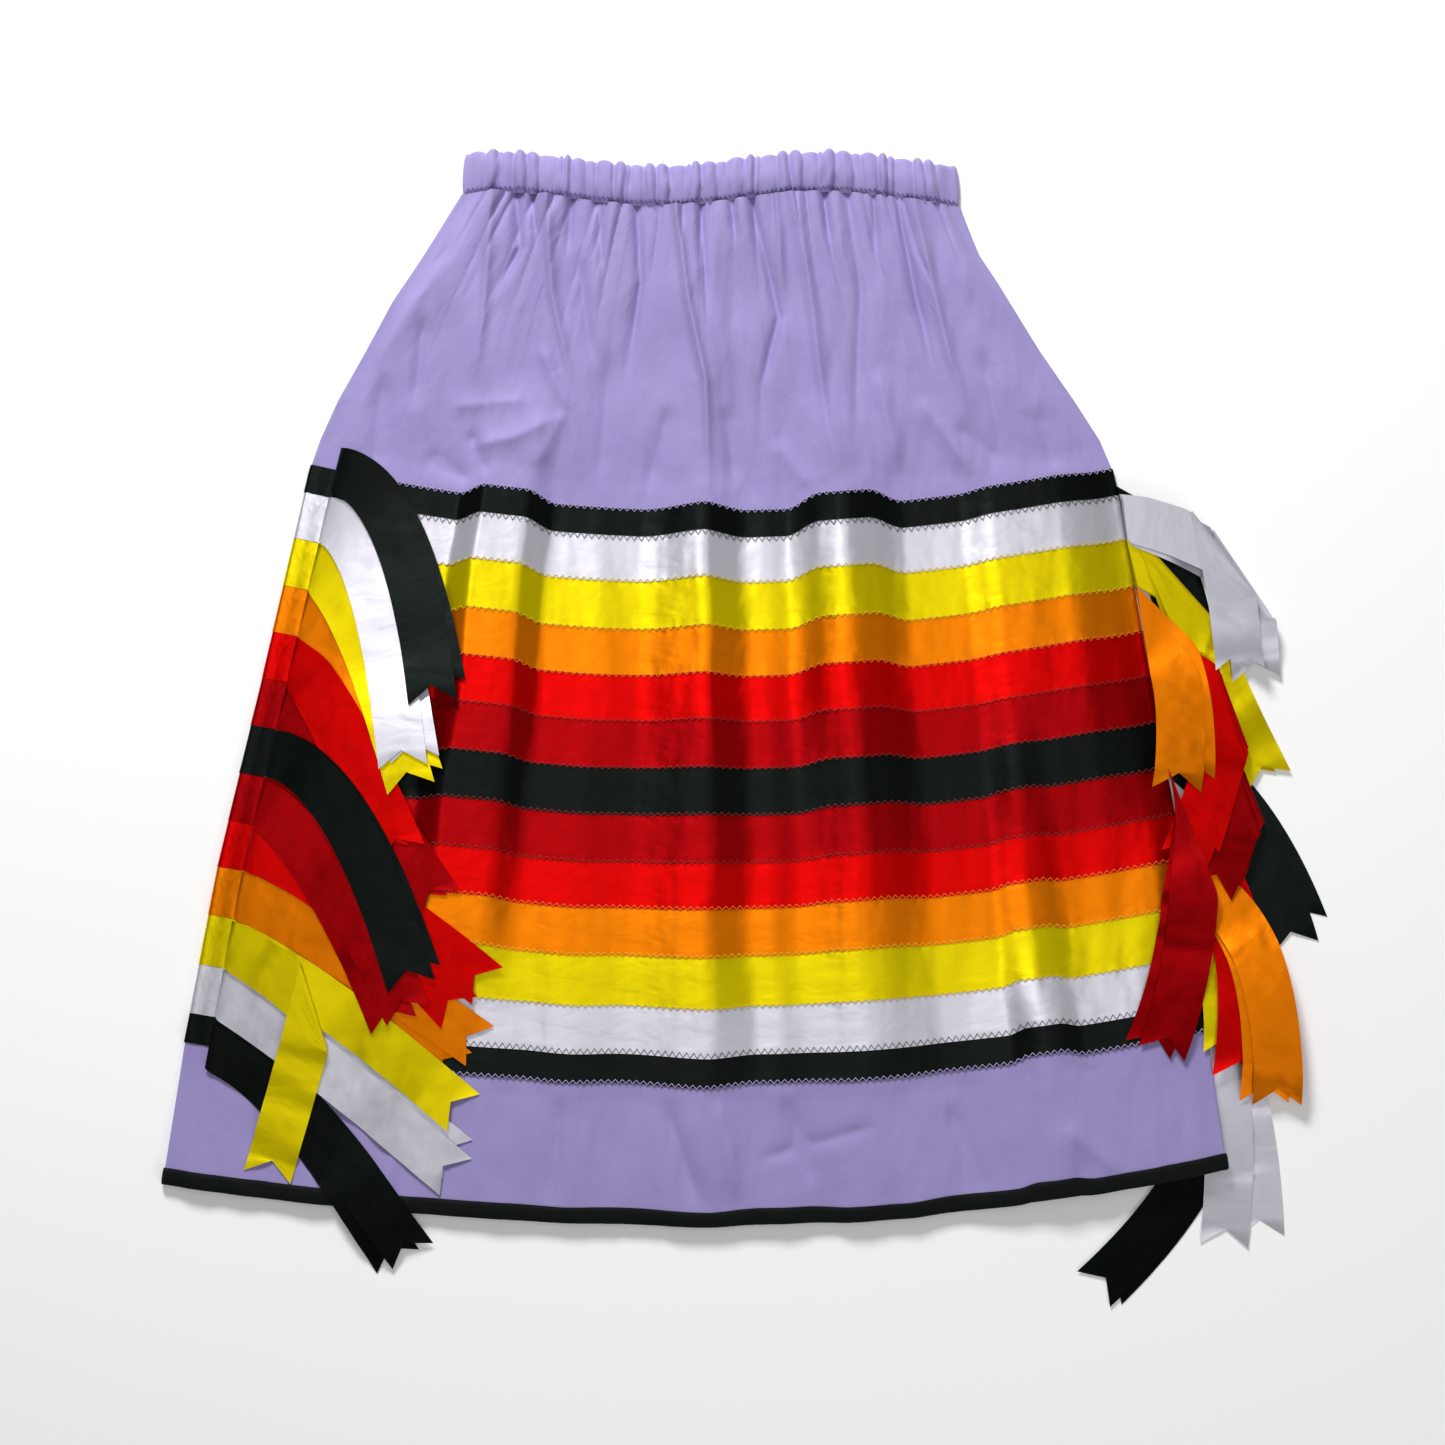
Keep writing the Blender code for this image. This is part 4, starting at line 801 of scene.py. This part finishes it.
def settle(lines, least, patches):
    """Lowers both ends of each line, bit by bit, on to what lies under them."""
    walk = [np.linalg.norm(np.subtract(p, q), axis=1).mean() for p, q in zip(lines, lines[1:])]
    top = max(max(need.max() for _, need in patches), least.max())
    ends = np.full((len(lines), 2), top)
    for _ in range(40):
        for k in range(len(lines)):
            for side in (0, 1):
                room = [ends[k, side] - least[k, side]]
                room.append(TILT * TAIL_WIDTH - ends[k, 1 - side] + ends[k, side])
                for other, corner in ((k - 1, 2 + side), (k, side)):
                    if not 0 <= other < len(patches):
                        continue
                    shares, need = patches[other]
                    spare = shares @ ends[other : other + 2].ravel() - need
                    weight = shares[:, corner]
                    reached = weight > 0.01
                    room.append((spare[reached] / weight[reached]).min())
                    beside = ends[2 * other + 1 - k, side]
                    room.append(ends[k, side] - beside + STEEPEST * walk[other])
                ends[k, side] -= 0.5 * max(min(room), 0.0)
    return ends


def lay(rulings, pile, start, root, clear, name):
    """Lays a tail on the pile. Returns the root's heights and each line's."""
    stretches = [[]]
    for i, ruling in enumerate(rulings):
        if ruling[2] == "crease":
            stretches.append([])
        else:
            stretches[-1].append(i)
    heights = [None] * len(rulings)
    for stretch in stretches:
        from_root = stretch is stretches[0]
        lines = [rulings[i][:2] for i in stretch]
        if stretch is not stretches[-1]:
            lines[-1] = rulings[stretch[-1] + 1][:2]
        if not from_root:
            lines[0] = rulings[stretch[0] - 1][:2]
        least = np.zeros((len(lines), 2))
        if from_root:
            lines.insert(0, (root[0] + clear, root[1] + clear))
            walk = [np.linalg.norm(np.add(*line) / 2 - np.add(*lines[0]) / 2) for line in lines]
            least = np.repeat(np.maximum(start - ROOT_DROP * np.array(walk), 0.0)[:, None], 2, axis=1)
        ends = settle(lines, least, [pile.needs(*p, *q) for p, q in zip(lines, lines[1:])])
        if from_root:
            root_heights = ends[0]
            lines[0] = root
        for height, i in zip(ends[-len(stretch) :], stretch):
            heights[i] = height
        for k in range(len(lines) - 1):
            shares, points = pile.shares(*lines[k], *lines[k + 1])
            tops = shares @ ends[k : k + 2].ravel() + RIBBON_WALL
            pile.add(np.column_stack([points, tops]), name)
    for i, ruling in enumerate(rulings):
        if ruling[2] == "crease":
            heights[i] = (heights[i - 1] + heights[i + 1]) / 2
    return root_heights, heights


def root_of(side, index):
    """The stretch of side seam where a ribbon's tails are caught, upper end first."""
    column = ("wrap", 1.0, 90) if side == "left" else ("front", 1.0, 15)
    share = {0: 0.0 if side == "left" else RIGHT_TOP_ROOT, len(RIBBONS) - 1: 1.0}.get(index, 0.5)
    ends = [np.array(on_skirt(column, y, RIBBON_OUT)) for y in ribbon_ends[index : index + 2]]
    centre = mix(ends[0], ends[1], share)
    along = unit((ends[0] - ends[1])[:2])
    height = 0.0
    if side == "right":
        centre[0] -= 1.4
        height = 3.0 + corner_lift(centre[0], centre[1]) - RIBBON_WALL - 0.15
    return (centre[:2] + along * ROOT_HALF, centre[:2] - along * ROOT_HALF), height


def smooth_rows(rows):
    """Lines across a ribbon, made closer and softened, as (edge one, edge two) in space."""
    fine = [rows[0]]
    for first, second in zip(rows, rows[1:]):
        gap = np.linalg.norm((second - first).mean(axis=0))
        count = max(int(math.ceil(gap / 2.6)), 1)
        fine += [mix(first, second, k / count) for k in range(1, count + 1)]
    fine = np.array(fine)
    for _ in range(4):
        fine[1:-1] = 0.5 * fine[1:-1] + 0.25 * (fine[:-2] + fine[2:])
    return list(fine)


laid_pile = Pile()
skirt_points = {}
for piece in (*band_pieces, front, back, bpy.data.objects["binding_front"]):
    co = np.empty(len(piece.data.vertices) * 3)
    piece.data.vertices.foreach_get("co", co)
    co = co.reshape(-1, 3) / MM
    skirt_points[piece.name] = co[co[:, 2] > 4.0]

index_of = {row[0]: i for i, row in enumerate(RIBBONS)}
paths, folded = {}, {}
for ribbon, bend_x, bend_y, tip_x, tip_y, fan, scale in LEFT_TAILS:
    paths["left", ribbon] = (None, (bend_x, bend_y), (tip_x, tip_y), fan, scale)
for ribbon, fold_x, fold_y, bend_x, bend_y, tip_x, tip_y, fan, scale in RIGHT_TAILS:
    fold = (fold_x, fold_y) if fold_x else None
    paths["right", ribbon] = (fold, (bend_x, bend_y), (tip_x, tip_y), fan, scale)
for side, table in (("left", LEFT_FOLDED), ("right", RIGHT_FOLDED)):
    for ribbon, fold_x, fold_y, tip_x, tip_y in table:
        middle = ((fold_x + tip_x) / 2, (fold_y + tip_y) / 2)
        folded[side, ribbon] = ((fold_x, fold_y), middle, (tip_x, tip_y))

laid, skirt_laid, resting = {}, False, {}
for entry in ", ".join(STACK).split(", "):
    if entry == "skirt":
        for name, points in skirt_points.items():
            laid_pile.add(points, name)
        skirt_laid = True
        continue
    side, ribbon, half = entry.split()
    root, height = root_of(side, index_of[ribbon])
    centre = (root[0] + root[1]) / 2
    fold, bend, tip, fan, scale = paths[side, ribbon]
    if (side, ribbon) in folded and half == ("upper" if side == "left" else "lower"):
        fold, bend, tip = folded[side, ribbon]
    elif half == "lower":
        bend, tip = turned(bend, centre, fan, scale), turned(tip, centre, fan, scale)
        fold = None if fold is None else turned(fold, centre, fan, scale)
    rulings = tail_rulings(root, fold, bend, tip)
    start = height if half == "lower" else height + RIBBON_WALL + LAID_GAP
    start = start if skirt_laid else 0.0
    clear = np.array([ROOT_CLEAR if side == "right" else 0.0, 0.0])
    middles = np.array([(r[0] + r[1]) / 2 for r in rulings])
    under = set(laid_pile.top_piece[laid_pile.cells(middles)]) - {"", f"tails_of_{side}_{ribbon}"}
    resting.setdefault((side, ribbon), set()).update(under)
    heights = lay(rulings, laid_pile, start, root, clear, f"tails_of_{side}_{ribbon}")
    laid[side, ribbon, half] = (rulings, *heights)


def ribbon_rows(rulings, heights):
    """Lines in space through the middle of the ribbon's wall, without the tip."""
    rows = []
    for ruling, height in zip(rulings, heights):
        if ruling[2] != "tip":
            z = np.array(height) + RIBBON_WALL / 2
            rows.append(np.array([(*ruling[0], z[0]), (*ruling[1], z[1])]))
    return rows


for side in ("left", "right"):
    for ribbon, _, tone in RIBBONS:
        root, _ = root_of(side, index_of[ribbon])
        low_rulings, low_root, low_heights = laid[side, ribbon, "lower"]
        top_rulings, top_root, top_heights = laid[side, ribbon, "upper"]
        seam_z = (low_root + top_root + RIBBON_WALL) / 2
        seam_row = np.array([(*root[0], seam_z[0]), (*root[1], seam_z[1])])
        rows = smooth_rows(ribbon_rows(low_rulings, low_heights)[::-1] + [seam_row])
        rows += smooth_rows([seam_row] + ribbon_rows(top_rulings, top_heights))[1:]
        tips = []
        for rulings, heights in ((low_rulings, low_heights), (top_rulings, top_heights)):
            z = np.array(heights[-1]) + RIBBON_WALL / 2
            tips.append(np.array([(*rulings[-1][0], z[0]), (*rulings[-1][1], z[1])]))
        lengths = np.cumsum([0] + [np.linalg.norm((q - p).mean(axis=0)) for p, q in zip(rows, rows[1:])])
        cut = [(0, share, tips[0]) for share in (1.0, 0.66, 0.33)]
        cut += [(k, 0.0, tips[0]) for k in range(len(rows))]
        cut += [(len(rows) - 1, share, tips[1]) for share in (0.33, 0.66, 1.0)]

        def on_tail(t, row, rows=rows, lengths=lengths):
            k, share, tip = row
            base = mix(rows[k][0], rows[k][1], t)
            if share:
                base = mix(base, mix(tip[0], tip[1], t), share * (0.06 + 0.94 * abs(2 * t - 1)))
            flutter = 0.22 * wander(base[0] / 13, base[1] / 13, lengths[k] / 40)
            return base[0], base[1], base[2] + flutter

        shares = [float(t) for t in np.linspace(0, 1, 9)]
        total = lengths[-1] + 2 * NOTCH
        piece = cloth(f"tails_of_{side}_{ribbon}", shares, cut, on_tail, TAIL_WIDTH, total, satins[tone])
        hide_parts(f"tails_{side}_{ribbon}")


# The studio: a plain white surface that is faintly lit of itself, broad soft lights overhead and
# to the north, a weak one to the south, and a camera straight above.
bm = bmesh.new()
bmesh.ops.create_grid(bm, x_segments=1, y_segments=1, size=4.0)
bmesh.ops.translate(bm, verts=bm.verts, vec=(0, 0, -0.0002))
ground = bpy.data.meshes.new("surface")
bm.to_mesh(ground)
bm.free()
surface = bpy.data.objects.new("surface", ground)
bpy.context.scene.collection.objects.link(surface)
paper, tree = new_material("matt_white_paper")
spot = add(tree, "ShaderNodeTexCoord")
grain = add(tree, "ShaderNodeTexNoise", {0: spot.outputs["Object"]}, Scale=900.0)
soft = add(tree, "ShaderNodeBump", {"Height": grain.outputs[0]}, Strength=0.03, Distance=0.0002)
finish_material(tree, add(tree, "ShaderNodeBsdfPrincipled", {"Normal": soft.outputs[0]},
                          Base_Color=colour("#FFFFFF"), Roughness=0.9, Emission_Color=colour("#FFFFFF"),
                          Emission_Strength=0.08))
ground.materials.append(paper)

LIGHTS = (
    # name, x, y, z, size, watts
    ("overhead_box", 0.0, 0.15, 2.35, 1.5, 8.5),
    ("top_box", -0.6, 2.3, 1.7, 0.7, 80.0),
    ("low_right_fill", 1.5, -2.1, 1.9, 1.2, 16.0),
)
for name, x, y, z, size, watts in LIGHTS:
    lamp = bpy.data.lights.new(name, "AREA")
    lamp.size = size
    lamp.energy = watts
    holder = bpy.data.objects.new(name, lamp)
    holder.location = (x, y, z)
    holder.rotation_euler = (Vector((0.0, 0.05, 0.0)) - Vector((x, y, z))).to_track_quat("-Z", "Y").to_euler()
    bpy.context.scene.collection.objects.link(holder)
world = bpy.data.worlds.new("studio")
world.use_nodes = True
world.node_tree.nodes["Background"].inputs[0].default_value = (1, 1, 1, 1)
world.node_tree.nodes["Background"].inputs[1].default_value = 0.14
bpy.context.scene.world = world
bpy.context.scene.view_settings.view_transform = "Standard"

HEIGHT, FRAME_WIDTH = 2.4, 1.127
lens = bpy.data.cameras.new("camera")
lens.sensor_width = 36.0
lens.lens = 36.0 * (HEIGHT - 0.008) / FRAME_WIDTH
camera = bpy.data.objects.new("camera", lens)
camera.location = (0.0129, 0.0542, HEIGHT)
bpy.context.scene.collection.objects.link(camera)
bpy.context.scene.camera = camera
